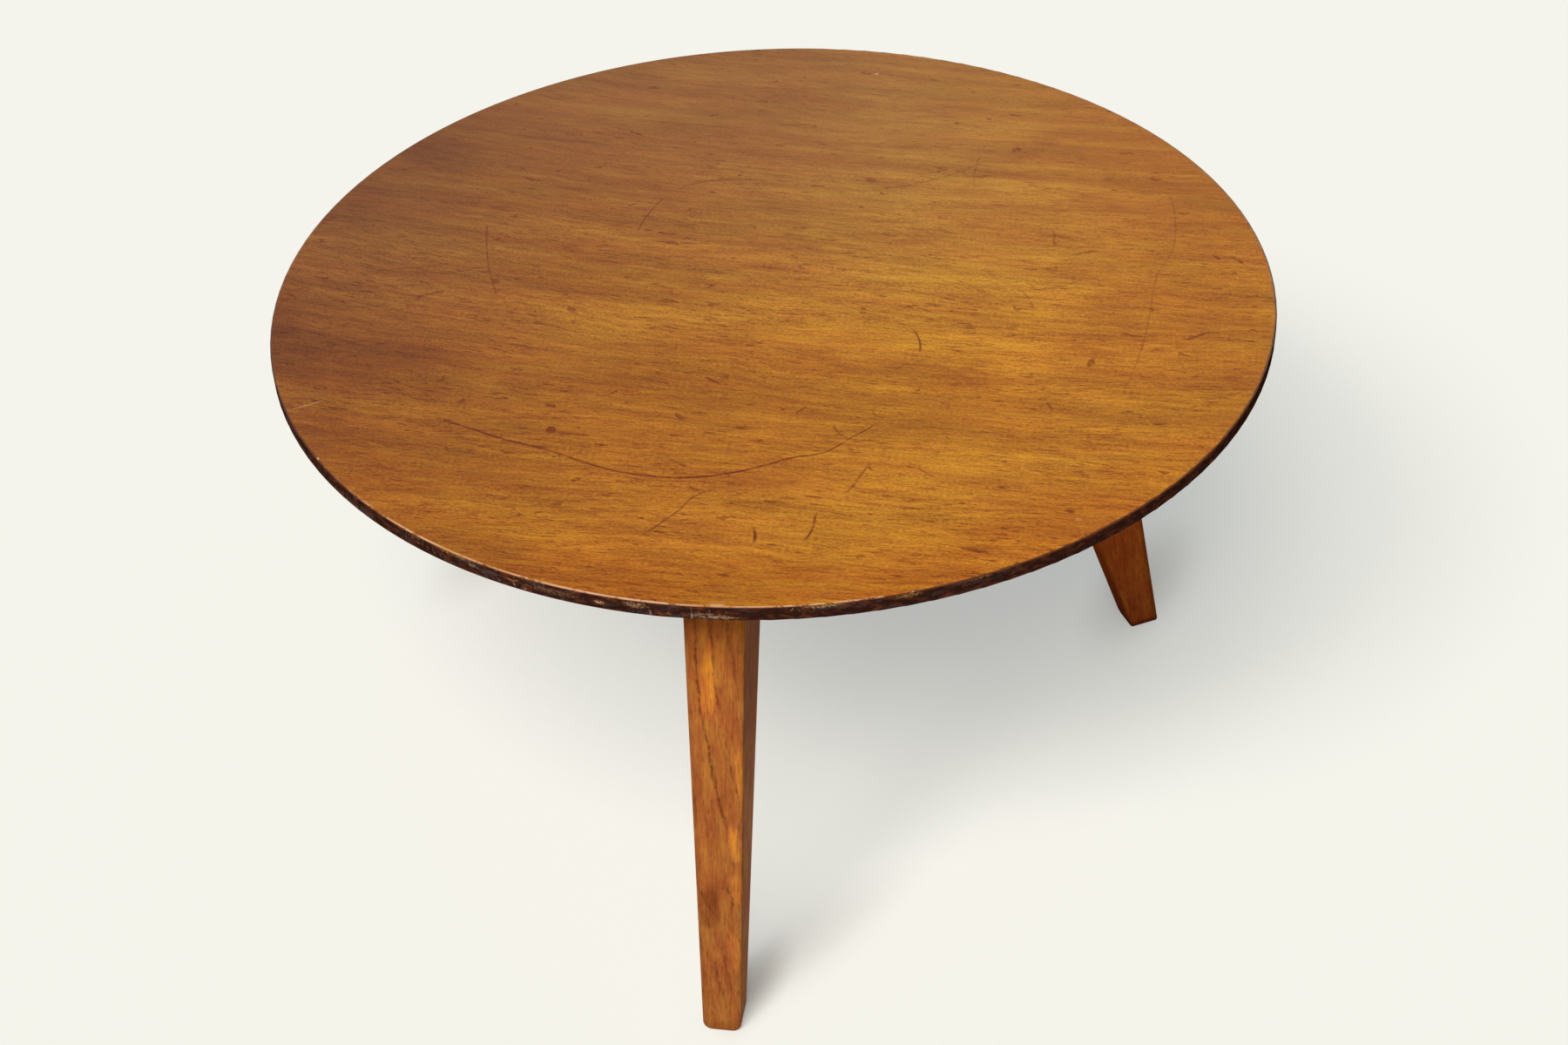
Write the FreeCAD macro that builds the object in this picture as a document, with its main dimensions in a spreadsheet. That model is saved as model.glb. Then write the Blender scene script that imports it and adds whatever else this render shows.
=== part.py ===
import FreeCAD, Part
import Sketcher
import os

from FreeCAD import Placement, Rotation, Vector

# Tripod coffee table, millimetres, +Z up.
# The origin is on the floor under the middle of the round top, and the front leg stands on -Y.

SIZES = [
    ("table_height", 476, "floor to the upper face of the top"),
    ("top_diameter", 800, "round top"),
    ("face_veneer", 1, "thickness of the show veneer"),
    ("core_ply", 2, "thickness of each core ply"),
    ("core_plies", 5, "number of core plies"),
    ("back_veneer", 1, "thickness of the veneer underneath"),
    ("upper_edge_radius", 2.5, "radius worn on the upper edge of the top"),
    ("lower_edge_radius", 1, "radius on the lower edge of the top"),
    ("head_reach", 280, "table axis to a leg's outer face, at the underside of the top"),
    ("foot_reach", 372, "table axis to a leg's outer face, at the floor"),
    ("head_depth", 99, "leg measured along the radius, at the underside of the top"),
    ("foot_depth", 27, "leg measured along the radius, at the floor"),
    ("head_width", 50, "leg measured across, at the underside of the top"),
    ("foot_width", 31, "leg measured across, at the floor"),
    ("leg_edge_radius", 2, "radius on a leg's long edges"),
    ("foot_round", 7.5, "radius from a leg's sides to the underside of its foot"),
    ("rail_depth", 45, "rails and hub, top to bottom"),
    ("rail_thickness", 22, "rails, side to side"),
    ("hub_flats", 76, "hexagonal hub, across flats"),
    ("hub_chamfer", 3, "chamfer round the lower end of the hub"),
    ("tenon_thickness", 9, "tenons at both ends of a rail"),
    ("tenon_shoulder", 7.5, "rail above and below its tenons"),
    ("hub_tenon", 18, "length of the tenon in the hub"),
    ("leg_tenon", 60, "length of the tenon in the leg head, at the underside of the top"),
    ("glue_gap", 0.1, "clearance of a glued joint, on each face"),
    ("mortise_gap", 1, "room for glue at the end of a tenon"),
    ("pin_diameter", 8, "pins across the leg head"),
    ("pin_inset", 20, "inner face of the leg to its first pin"),
    ("pin_spacing", 20, "first pin to second pin"),
    ("pin_recess", 0.3, "end of a pin below the side of the leg"),
    ("fit_gap", 0.05, "radial clearance of a pin or screw in its hole"),
    ("screw_diameter", 4, "shank of a screw"),
    ("screw_head", 8, "head of a screw, across"),
    ("screw_head_height", 2.4, "height of a countersunk head"),
    ("screw_rim", 0.4, "straight rim of a screw head"),
    ("screw_length", 38, "whole length of a screw"),
    ("screw_bite", 8, "length of a screw in the top"),
    ("screw_tip", 4, "length of a screw's point"),
    ("slot_width", 1, "slot in a screw head"),
    ("slot_depth", 1.1, "slot in a screw head"),
    ("pocket_diameter", 10, "pocket in a rail for a screw head"),
    ("hub_screw_inset", 20, "side of the hub to the inner screw of a rail"),
    ("leg_screw_inset", 25, "leg head to the outer screw of a rail"),
    ("overrun", 5, "how far a cut runs past the wood"),
]

ARM_NAMES = ("front", "right", "left")
FRONT_DEGREES = -90
ARMS = {name: FRONT_DEGREES + 360 * turn / len(ARM_NAMES) for turn, name in enumerate(ARM_NAMES)}

# Sizes that follow from the sheet, as expressions.

TOP_THICKNESS = "(Sizes.face_veneer + Sizes.core_plies * Sizes.core_ply + Sizes.back_veneer)"
UNDERSIDE = f"(Sizes.table_height - {TOP_THICKNESS})"
HEAD_INNER = "(Sizes.head_reach - Sizes.head_depth)"
FOOT_INNER = "(Sizes.foot_reach - Sizes.foot_depth)"
RAIL_BOTTOM = f"({UNDERSIDE} - Sizes.rail_depth)"
RAIL_MIDDLE = f"({UNDERSIDE} - Sizes.rail_depth / 2)"
TENON_BOTTOM = f"({RAIL_BOTTOM} + Sizes.tenon_shoulder)"
TENON_TOP = f"({UNDERSIDE} - Sizes.tenon_shoulder)"
TENON_END = f"({HEAD_INNER} + Sizes.leg_tenon)"
HUB_SIDE = "(Sizes.hub_flats / 2)"
HUB_TENON_END = f"({HUB_SIDE} - Sizes.hub_tenon)"
POCKET_ROOF = f"({UNDERSIDE} - Sizes.screw_length + Sizes.screw_bite)"
GLUED_TENON = "(Sizes.tenon_thickness + 2 * Sizes.glue_gap)"


def inner_face(height):
    """Radius of a leg's inner face at a height, as an expression."""
    return f"({FOOT_INNER} + ({HEAD_INNER} - {FOOT_INNER}) * {height} / {UNDERSIDE})"


def leg_width(height):
    """Width of a leg at a height, as an expression."""
    return f"(Sizes.foot_width + (Sizes.head_width - Sizes.foot_width) * {height} / {UNDERSIDE})"


FIRST_PIN = f"({inner_face(RAIL_MIDDLE)} + Sizes.pin_inset)"
PIN_PLACES = [FIRST_PIN, f"({FIRST_PIN} + Sizes.pin_spacing)"]
SCREW_PLACES = [f"({HUB_SIDE} + Sizes.hub_screw_inset)", f"({HEAD_INNER} - Sizes.leg_screw_inset)"]

doc = FreeCAD.newDocument("TripodCoffeeTable")
sheet = doc.addObject("Spreadsheet::Sheet", "Sizes")
nodes = []


def fill_sheet():
    for row, (alias, value, meaning) in enumerate(SIZES, start=1):
        sheet.set(f"A{row}", alias)
        sheet.set(f"B{row}", str(value))
        sheet.set(f"C{row}", meaning)
        sheet.setAlias(f"B{row}", alias)
    doc.recompute()


def value_of(expression):
    """Number that an expression gives now."""
    return float(sheet.evalExpression(expression))


def bind(thing, **expressions):
    for name, expression in expressions.items():
        thing.setExpression(name, expression)


def bind_place(thing, x="0", y="0", z="0"):
    for axis, expression in zip("xyz", (x, y, z)):
        thing.setExpression(f".Placement.Base.{axis}", expression)


def about_axis(degrees):
    """Placement that turns a piece about the table's axis."""
    return Placement(Vector(), Rotation(Vector(0, 0, 1), degrees))


def turned(thing, degrees, name):
    """The same piece again, turned about the table's axis."""
    copy = doc.addObject("App::Link", name)
    copy.LinkedObject = thing
    copy.LinkTransform = True
    copy.Placement = about_axis(degrees)
    return copy


def keep(thing, label):
    """Take a piece as a finished sub-part."""
    thing.Label = label
    nodes.append(thing)
    return thing


def named_body(name):
    return doc.addObject("PartDesign::Body", name)


def origin_plane(body, role):
    return next(feature for feature in body.Origin.OriginFeatures if feature.Role == role)


def sketch_on(body, role, name):
    sketch = body.newObject("Sketcher::SketchObject", name)
    sketch.AttachmentSupport = [(origin_plane(body, role), "")]
    sketch.MapMode = "FlatFace"
    return sketch


def fix_point(sketch, line, across, up):
    """Hold the start of a line at a place given by two expressions."""
    for kind, axis, expression in (("DistanceX", -2, across), ("DistanceY", -1, up)):
        if expression == "0":
            sketch.addConstraint(Sketcher.Constraint("PointOnObject", line, 1, axis))
            continue
        value = value_of(expression)
        index = sketch.addConstraint(Sketcher.Constraint(kind, -1, 1, line, 1, value))
        sketch.setExpression(f"Constraints[{index}]", expression)


def draw_outline(sketch, points):
    """Closed outline through points, each given by two expressions."""
    places = [Vector(value_of(across), value_of(up), 0) for across, up in points]
    for start, end in zip(places, places[1:] + places[:1]):
        sketch.addGeometry(Part.LineSegment(start, end), False)
    for line in range(len(points)):
        sketch.addConstraint(Sketcher.Constraint("Coincident", line, 2, (line + 1) % len(points), 1))
    for line, (across, up) in enumerate(points):
        fix_point(sketch, line, across, up)


def draw_circle(sketch, across, up, radius):
    centre = Vector(value_of(across), value_of(up), 0)
    circle = sketch.addGeometry(Part.Circle(centre, Vector(0, 0, 1), value_of(radius)), False)
    places = (("DistanceX", across), ("DistanceY", up))
    for kind, expression in places:
        index = sketch.addConstraint(Sketcher.Constraint(kind, -1, 1, circle, 3, value_of(expression)))
        sketch.setExpression(f"Constraints[{index}]", expression)
    index = sketch.addConstraint(Sketcher.Constraint("Radius", circle, value_of(radius)))
    sketch.setExpression(f"Constraints[{index}]", radius)


def both_ways(body, kind, name, sketch, length):
    """Pad or pocket of a sketch, as far to one side of its plane as to the other."""
    feature = body.newObject(kind, name)
    feature.Profile = sketch
    feature.SideType = "Symmetric"
    feature.setExpression("Length", length)
    return feature


def rounded(body, name, base, chosen, radius):
    """Fillet on the chosen edges of a feature."""
    edges = [f"Edge{i}" for i, edge in enumerate(base.Shape.Edges, start=1)
             if any(edge.isSame(other) for other in chosen)]
    fillet = body.newObject("PartDesign::Fillet", name)
    fillet.Base = (base, edges)
    fillet.setExpression("Radius", radius)
    return fillet


def foot_sides(shape):
    """Edges between a leg's sides and the underside of its foot."""
    underside = min(shape.Faces, key=lambda face: face.BoundBox.ZMax)
    return [edge for edge in underside.Edges if edge.BoundBox.XLength > edge.BoundBox.YLength]


def broad_face_edges(shape):
    """Edges of a leg's outer and inner faces, but not those at its head."""
    half_height = value_of(UNDERSIDE) / 2
    faces = [face for face in shape.Faces if face.BoundBox.ZLength > half_height
             and face.BoundBox.YLength > value_of("Sizes.foot_width")]
    return [edge for face in faces for edge in face.Edges if edge.BoundBox.ZMin < half_height]


def build_board():
    """Blank of the round top, before it is told apart into its layers."""
    disc = doc.addObject("Part::Cylinder", "BoardDisc")
    bind(disc, Radius="Sizes.top_diameter / 2", Height=TOP_THICKNESS)
    bind_place(disc, z=UNDERSIDE)
    doc.recompute()
    height = value_of("Sizes.table_height")
    edges = []
    for index, edge in enumerate(disc.Shape.Edges, start=1):
        if not edge.Closed:
            continue
        upper = edge.BoundBox.ZMax > height - value_of("Sizes.face_veneer")
        radius = value_of("Sizes.upper_edge_radius" if upper else "Sizes.lower_edge_radius")
        edges.append((index, radius, radius))
    board = doc.addObject("Part::Fillet", "Board")
    board.Base = disc
    board.Edges = edges
    return board


def build_pilot_holes():
    """Holes for the screws in the top, all arms together."""
    holes = []
    for place in SCREW_PLACES:
        hole = doc.addObject("Part::Cylinder", "PilotHole")
        bind(hole, Radius="Sizes.screw_diameter / 2 + Sizes.fit_gap",
             Height="Sizes.screw_bite + Sizes.glue_gap + Sizes.overrun")
        bind_place(hole, x=place, z=f"{UNDERSIDE} - Sizes.overrun")
        holes.append(hole)
    copies = [turned(hole, degrees, "PilotHoleCopy") for degrees in ARMS.values() for hole in holes]
    all_holes = doc.addObject("Part::MultiFuse", "PilotHoles")
    all_holes.Shapes = copies
    return all_holes


def build_layer(board, holes, label, bottom, thickness):
    """One veneer or ply: the slice of the board between two heights."""
    slab = doc.addObject("Part::Cylinder", "Slab")
    bind(slab, Radius="Sizes.top_diameter / 2 + Sizes.overrun", Height=thickness)
    bind_place(slab, z=bottom)
    layer = doc.addObject("Part::Common", "Layer")
    layer.Base = board
    layer.Tool = slab
    hole_top = value_of(f"{UNDERSIDE} + Sizes.screw_bite + Sizes.glue_gap")
    if value_of(bottom) < hole_top:
        drilled = doc.addObject("Part::Cut", "DrilledLayer")
        drilled.Base = layer
        drilled.Tool = holes
        layer = drilled
    keep(layer, label)


def build_top():
    board = build_board()
    holes = build_pilot_holes()
    build_layer(board, holes, "back_veneer", UNDERSIDE, "Sizes.back_veneer")
    plies = round(value_of("Sizes.core_plies"))
    for ply in range(plies):
        bottom = f"({UNDERSIDE} + Sizes.back_veneer + {ply} * Sizes.core_ply)"
        build_layer(board, holes, f"core_ply_{ply + 1}", bottom, "Sizes.core_ply")
    build_layer(board, holes, "face_veneer", "(Sizes.table_height - Sizes.face_veneer)",
                "Sizes.face_veneer")


def build_leg(arm, degrees):
    """Tapered leg, sawn to its side profile and then thinned towards the foot on both sides."""
    body = named_body(f"{arm.title()}Leg")
    profile = sketch_on(body, "XZ_Plane", "LegProfile")
    draw_outline(profile, [
        (HEAD_INNER, UNDERSIDE),
        ("Sizes.head_reach", UNDERSIDE),
        ("Sizes.foot_reach", "0"),
        (FOOT_INNER, "0"),
    ])
    blank = both_ways(body, "PartDesign::Pad", "LegBlank", profile, "Sizes.head_width")

    waste = sketch_on(body, "YZ_Plane", "LegTaperProfile")
    draw_outline(waste, [
        ("Sizes.head_width / 2", UNDERSIDE),
        ("Sizes.foot_width / 2", "0"),
        ("Sizes.head_width / 2 + Sizes.overrun", "0"),
        ("Sizes.head_width / 2 + Sizes.overrun", UNDERSIDE),
    ])
    taper = both_ways(body, "PartDesign::Pocket", "LegTaper", waste,
                      "2 * (Sizes.foot_reach + Sizes.overrun)")
    other_side = body.newObject("PartDesign::Mirrored", "LegTaperMirrored")
    other_side.Originals = [taper]
    other_side.MirrorPlane = (origin_plane(body, "XZ_Plane"), [""])
    body.Tip = other_side
    doc.recompute()
    compare(blank, other_side, "the taper cuts nothing")

    foot = rounded(body, "FootRound", other_side, foot_sides(other_side.Shape), "Sizes.foot_round")
    doc.recompute()
    leg = rounded(body, "LegArris", foot, broad_face_edges(foot.Shape), "Sizes.leg_edge_radius")

    mortise = sketch_on(body, "XZ_Plane", "MortiseProfile")
    inside = f"({HEAD_INNER} - Sizes.overrun)"
    end = f"({TENON_END} + Sizes.mortise_gap)"
    low = f"({TENON_BOTTOM} - Sizes.glue_gap)"
    high = f"({TENON_TOP} + Sizes.glue_gap)"
    draw_outline(mortise, [(inside, low), (end, low), (end, high), (inside, high)])
    mortised = both_ways(body, "PartDesign::Pocket", "Mortise", mortise, GLUED_TENON)
    drilled = drill_pin_holes(body, "Sizes.head_width + Sizes.overrun")
    doc.recompute()
    compare(leg, mortised, "the mortise cuts nothing")
    compare(mortised, drilled, "the pin holes cut nothing")
    body.Placement = about_axis(degrees)
    keep(body, f"{arm}_leg")


def drill_pin_holes(body, length):
    """Holes for the cross pins, the same in the leg head and in the tenon."""
    for place in PIN_PLACES:
        circle = sketch_on(body, "XZ_Plane", "PinHoleProfile")
        draw_circle(circle, place, RAIL_MIDDLE, "Sizes.pin_diameter / 2 + Sizes.fit_gap")
        hole = both_ways(body, "PartDesign::Pocket", "PinHole", circle, length)
    return hole


def build_rail(arm, degrees):
    """Rail from the hub to a leg head, with a tenon at each end and pockets for two screws."""
    body = named_body(f"{arm.title()}Rail")
    profile = sketch_on(body, "XZ_Plane", "RailProfile")
    hub_end = f"({HUB_SIDE} + Sizes.glue_gap)"
    draw_outline(profile, [
        (hub_end, RAIL_BOTTOM),
        (f"({inner_face(RAIL_BOTTOM)} - Sizes.glue_gap)", RAIL_BOTTOM),
        (f"({HEAD_INNER} - Sizes.glue_gap)", UNDERSIDE),
        (hub_end, UNDERSIDE),
    ])
    both_ways(body, "PartDesign::Pad", "RailBlank", profile, "Sizes.rail_thickness")

    tongue = sketch_on(body, "XZ_Plane", "TenonProfile")
    draw_outline(tongue, [
        (HUB_TENON_END, TENON_BOTTOM),
        (TENON_END, TENON_BOTTOM),
        (TENON_END, TENON_TOP),
        (HUB_TENON_END, TENON_TOP),
    ])
    solid = both_ways(body, "PartDesign::Pad", "Tenons", tongue, "Sizes.tenon_thickness")
    drilled = drill_pin_holes(body, "Sizes.rail_thickness")
    doc.recompute()
    compare(solid, drilled, "the pin holes cut nothing")
    for place in SCREW_PLACES:
        bored = bore_for_screw(body, place)
        doc.recompute()
        compare(drilled, bored, "a screw's hole cuts nothing")
        drilled = bored
    body.Placement = about_axis(degrees)
    keep(body, f"{arm}_rail")


def bore_for_screw(body, place):
    """Pocket, countersink and clearance hole for one screw, turned about its axis."""
    shank = "Sizes.screw_diameter / 2 + Sizes.fit_gap"
    head = "Sizes.screw_head / 2 + Sizes.fit_gap"
    entry = f"({RAIL_BOTTOM} - Sizes.overrun)"
    exit_end = f"({UNDERSIDE} + Sizes.overrun)"
    rim_top = f"({POCKET_ROOF} + Sizes.screw_rim)"
    seat_top = f"({POCKET_ROOF} + Sizes.screw_head_height)"
    sketch = sketch_on(body, "XZ_Plane", "ScrewHoleProfile")
    draw_outline(sketch, [
        (place, exit_end),
        (place, entry),
        (f"({place} + Sizes.pocket_diameter / 2)", entry),
        (f"({place} + Sizes.pocket_diameter / 2)", POCKET_ROOF),
        (f"({place} + {head})", POCKET_ROOF),
        (f"({place} + {head})", rim_top),
        (f"({place} + {shank})", seat_top),
        (f"({place} + {shank})", exit_end),
    ])
    axis_start = Vector(value_of(place), value_of(entry), 0)
    axis_end = Vector(value_of(place), value_of(exit_end), 0)
    axis = sketch.addGeometry(Part.LineSegment(axis_start, axis_end), True)
    sketch.addConstraint(Sketcher.Constraint("Coincident", axis, 1, 1, 1))
    sketch.addConstraint(Sketcher.Constraint("Coincident", axis, 2, 0, 1))
    groove = body.newObject("PartDesign::Groove", "ScrewHole")
    groove.Profile = sketch
    groove.ReferenceAxis = (sketch, ["Axis0"])
    return groove


def build_hub():
    """Hexagonal block in the middle, with a mortise in every other side."""
    prism = doc.addObject("Part::Prism", "HubPrism")
    prism.Polygon = 6
    bind(prism, Circumradius=f"{HUB_SIDE} / cos(30 deg)", Height="Sizes.rail_depth")
    bind_place(prism, z=RAIL_BOTTOM)
    doc.recompute()
    chamfer = value_of("Sizes.hub_chamfer")
    lower = value_of(RAIL_BOTTOM) + chamfer / 2
    edges = enumerate(prism.Shape.Edges, start=1)
    block = doc.addObject("Part::Chamfer", "HubBlock")
    block.Base = prism
    block.Edges = [(i, chamfer, chamfer) for i, edge in edges if edge.BoundBox.ZMax < lower]

    mortise = doc.addObject("Part::Box", "HubMortise")
    bind(mortise, Length="Sizes.hub_tenon + Sizes.mortise_gap + Sizes.overrun", Width=GLUED_TENON,
         Height=f"{TENON_TOP} - {TENON_BOTTOM} + 2 * Sizes.glue_gap")
    bind_place(mortise, x=f"{HUB_TENON_END} - Sizes.mortise_gap", y=f"-{GLUED_TENON} / 2",
               z=f"{TENON_BOTTOM} - Sizes.glue_gap")
    mortises = doc.addObject("Part::MultiFuse", "HubMortises")
    mortises.Shapes = [turned(mortise, degrees, "HubMortiseCopy") for degrees in ARMS.values()]
    hub = doc.addObject("Part::Cut", "Hub")
    hub.Base = block
    hub.Tool = mortises
    keep(hub, "hub")


def build_pins():
    """Cross pins of all leg heads, as one group."""
    pins = []
    for place in PIN_PLACES:
        pin = doc.addObject("Part::Cylinder", "Pin")
        pin.Placement = Placement(Vector(), Rotation(Vector(1, 0, 0), -90))
        length = f"({leg_width(RAIL_MIDDLE)} - 2 * Sizes.pin_recess)"
        bind(pin, Radius="Sizes.pin_diameter / 2", Height=length)
        bind_place(pin, x=place, y=f"-{length} / 2", z=RAIL_MIDDLE)
        pins.append(pin)
    group = doc.addObject("Part::Compound", "LegPins")
    group.Links = [turned(pin, degrees, "PinCopy") for degrees in ARMS.values() for pin in pins]
    keep(group, "leg_pins")


def build_screw():
    """Slotted countersunk wood screw, head down, with the bottom of its head at height zero."""
    body = named_body("Screw")
    sketch = sketch_on(body, "XZ_Plane", "ScrewProfile")
    shank = "Sizes.screw_diameter / 2"
    draw_outline(sketch, [
        ("0", "Sizes.screw_length"),
        ("0", "0"),
        ("Sizes.screw_head / 2", "0"),
        ("Sizes.screw_head / 2", "Sizes.screw_rim"),
        (shank, "Sizes.screw_head_height"),
        (shank, "(Sizes.screw_length - Sizes.screw_tip)"),
    ])
    turning = body.newObject("PartDesign::Revolution", "ScrewTurned")
    turning.Profile = sketch
    turning.ReferenceAxis = (sketch, ["V_Axis"])
    slot = sketch_on(body, "XZ_Plane", "SlotProfile")
    half = "Sizes.slot_width / 2"
    draw_outline(slot, [
        (f"-{half}", "-Sizes.overrun"),
        (half, "-Sizes.overrun"),
        (half, "Sizes.slot_depth"),
        (f"-{half}", "Sizes.slot_depth"),
    ])
    slotted = both_ways(body, "PartDesign::Pocket", "Slot", slot, "Sizes.screw_head + Sizes.overrun")
    doc.recompute()
    compare(turning, slotted, "the slot cuts nothing")
    return body


def build_screws():
    """Screws that hold the frame to the top, as one group."""
    screw = build_screw()
    copies = []
    for place in SCREW_PLACES:
        seated = turned(screw, 0, "SeatedScrew")
        bind_place(seated, x=place, z=POCKET_ROOF)
        copies.append(seated)
    group = doc.addObject("Part::Compound", "TopScrews")
    group.Links = [turned(copy, degrees, "ScrewCopy") for degrees in ARMS.values() for copy in copies]
    keep(group, "top_screws")


def compare(before, after, complaint):
    """Stop if a cut has taken nothing away."""
    if not after.Shape.Volume < before.Shape.Volume:
        raise RuntimeError(f"{after.Label}: {complaint}")


def check_and_write():
    doc.recompute()
    for thing in doc.Objects:
        if "Invalid" in thing.State or "Error" in thing.State:
            raise RuntimeError(f"{thing.Name} failed: {thing.State}")
    os.makedirs("parts", exist_ok=True)
    for node in nodes:
        shape = Part.getShape(node)
        if shape.isNull() or not shape.isValid() or not shape.Solids:
            raise RuntimeError(f"{node.Label} has no valid solid")
        print(node.Label, len(shape.Solids), round(shape.Volume), shape.BoundBox)
        shape.exportStep(f"parts/{node.Label}.step")


fill_sheet()
build_top()
for arm_name, arm_degrees in ARMS.items():
    build_leg(arm_name, arm_degrees)
for arm_name, arm_degrees in ARMS.items():
    build_rail(arm_name, arm_degrees)
build_hub()
build_pins()
build_screws()
check_and_write()
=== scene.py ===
"""Looks of the round tripod coffee table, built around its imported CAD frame.

Lengths are metres in the row frame: the origin is on the floor under the middle of the top,
+Z is up and the front leg points along -Y. Azimuths are degrees from +X towards +Y.

Every wood is a tree of procedural nodes over Object coordinates. The renderer keeps the values of a
tree in a small memory, so the nodes are put in an order that needs few values at once: masks come
one by one and are folded into the result straight away.
"""
import math
from typing import NamedTuple

import bpy
from mathutils import Matrix, Vector

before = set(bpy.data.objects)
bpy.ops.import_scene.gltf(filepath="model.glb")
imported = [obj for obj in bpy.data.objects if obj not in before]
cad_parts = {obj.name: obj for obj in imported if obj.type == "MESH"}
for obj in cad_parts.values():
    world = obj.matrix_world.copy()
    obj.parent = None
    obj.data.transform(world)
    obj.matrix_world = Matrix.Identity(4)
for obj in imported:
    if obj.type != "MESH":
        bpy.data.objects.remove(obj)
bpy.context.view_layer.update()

# The object, as the frame has it
TOP_HEIGHT = 0.476
TOP_UNDERSIDE = 0.464
TOP_RADIUS = 0.400
ARRIS_RADIUS = 0.0025
PLY_COUNT = 5
LEG_AZIMUTHS = {"front": -90.0, "right": 30.0, "left": 150.0}
HEAD_REACH = 0.280
FOOT_REACH = 0.372
HEAD_WIDTH = 0.050
FOOT_WIDTH = 0.031
LEG_LEAN = (FOOT_REACH - HEAD_REACH) / TOP_UNDERSIDE

# The camera, at the photograph's viewing angle
CAMERA_PLACE = (0.3031, -1.6514, 1.5681)
CAMERA_HEADING = 10.35
CAMERA_DIP = 38.545
CAMERA_TILT = -2.548
CAMERA_LENS = 56.98
SENSOR_WIDTH = 36.0

# The light, from a broad and a narrower soft lamp and a faint sky
# Lamps: (azimuth, elevation, spread in degrees, share of the floor's light)
LAMPS = [(-95.0, 51.5, 27.0, 0.64), (-121.0, 46.0, 15.0, 0.28)]
SKY_SHARE = 1.0 - sum(lamp[3] for lamp in LAMPS)
SKY_WHITE = (1.0, 1.0, 1.0)
BACKGROUND = (0.905, 0.905, 0.838)
# A share of what a camera sees of the floor is a glow that no lamp's shadow takes away
FLOOR_GLOW = 0.50
FLOOR_GLOW_HUE = (0.860, 0.908, 0.888)
FLOOR_LIT = tuple((whole - FLOOR_GLOW * glow) / (1.0 - FLOOR_GLOW)
                  for whole, glow in zip(BACKGROUND, FLOOR_GLOW_HUE))
FLOOR_BOUNCE = (0.56, 0.55, 0.52)
FLOOR_HALF = 20.0
# Beside and behind a foot the floor loses its glow too: soft ovals, placed from the middle of the foot
# as (x, y, half length, half width, turn in degrees, strength)
FOOT_SHADES = {
    "front": [(0.020, 0.050, 0.075, 0.027, 74.0, 0.55), (0.055, 0.095, 0.155, 0.046, 54.0, 0.23)],
    "right": [(-0.010, 0.040, 0.140, 0.058, 70.0, 0.33)],
    "left": [(-0.010, 0.040, 0.140, 0.058, 70.0, 0.33)],
}

# An oval is full over this share of its reach, and falls off from there
SHADE_CORE = 0.0
ZONE_CORE = 0.1
CHIP_CORE = 0.3
AREA_CORE = 0.5
MARK_CORE = 0.6


class Noise(NamedTuple):
    """Noise stretched along the grain: along, across and depth are its scales per metre.

    shows is where a mask made of it starts and where it is full, and amount is how much it changes.
    """
    along: float
    across: float
    depth: float = None
    seed: float = 0.0
    detail: float = 2.0
    roughness: float = 0.5
    shows: tuple = (0.0, 1.0)
    amount: float = 1.0


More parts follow.
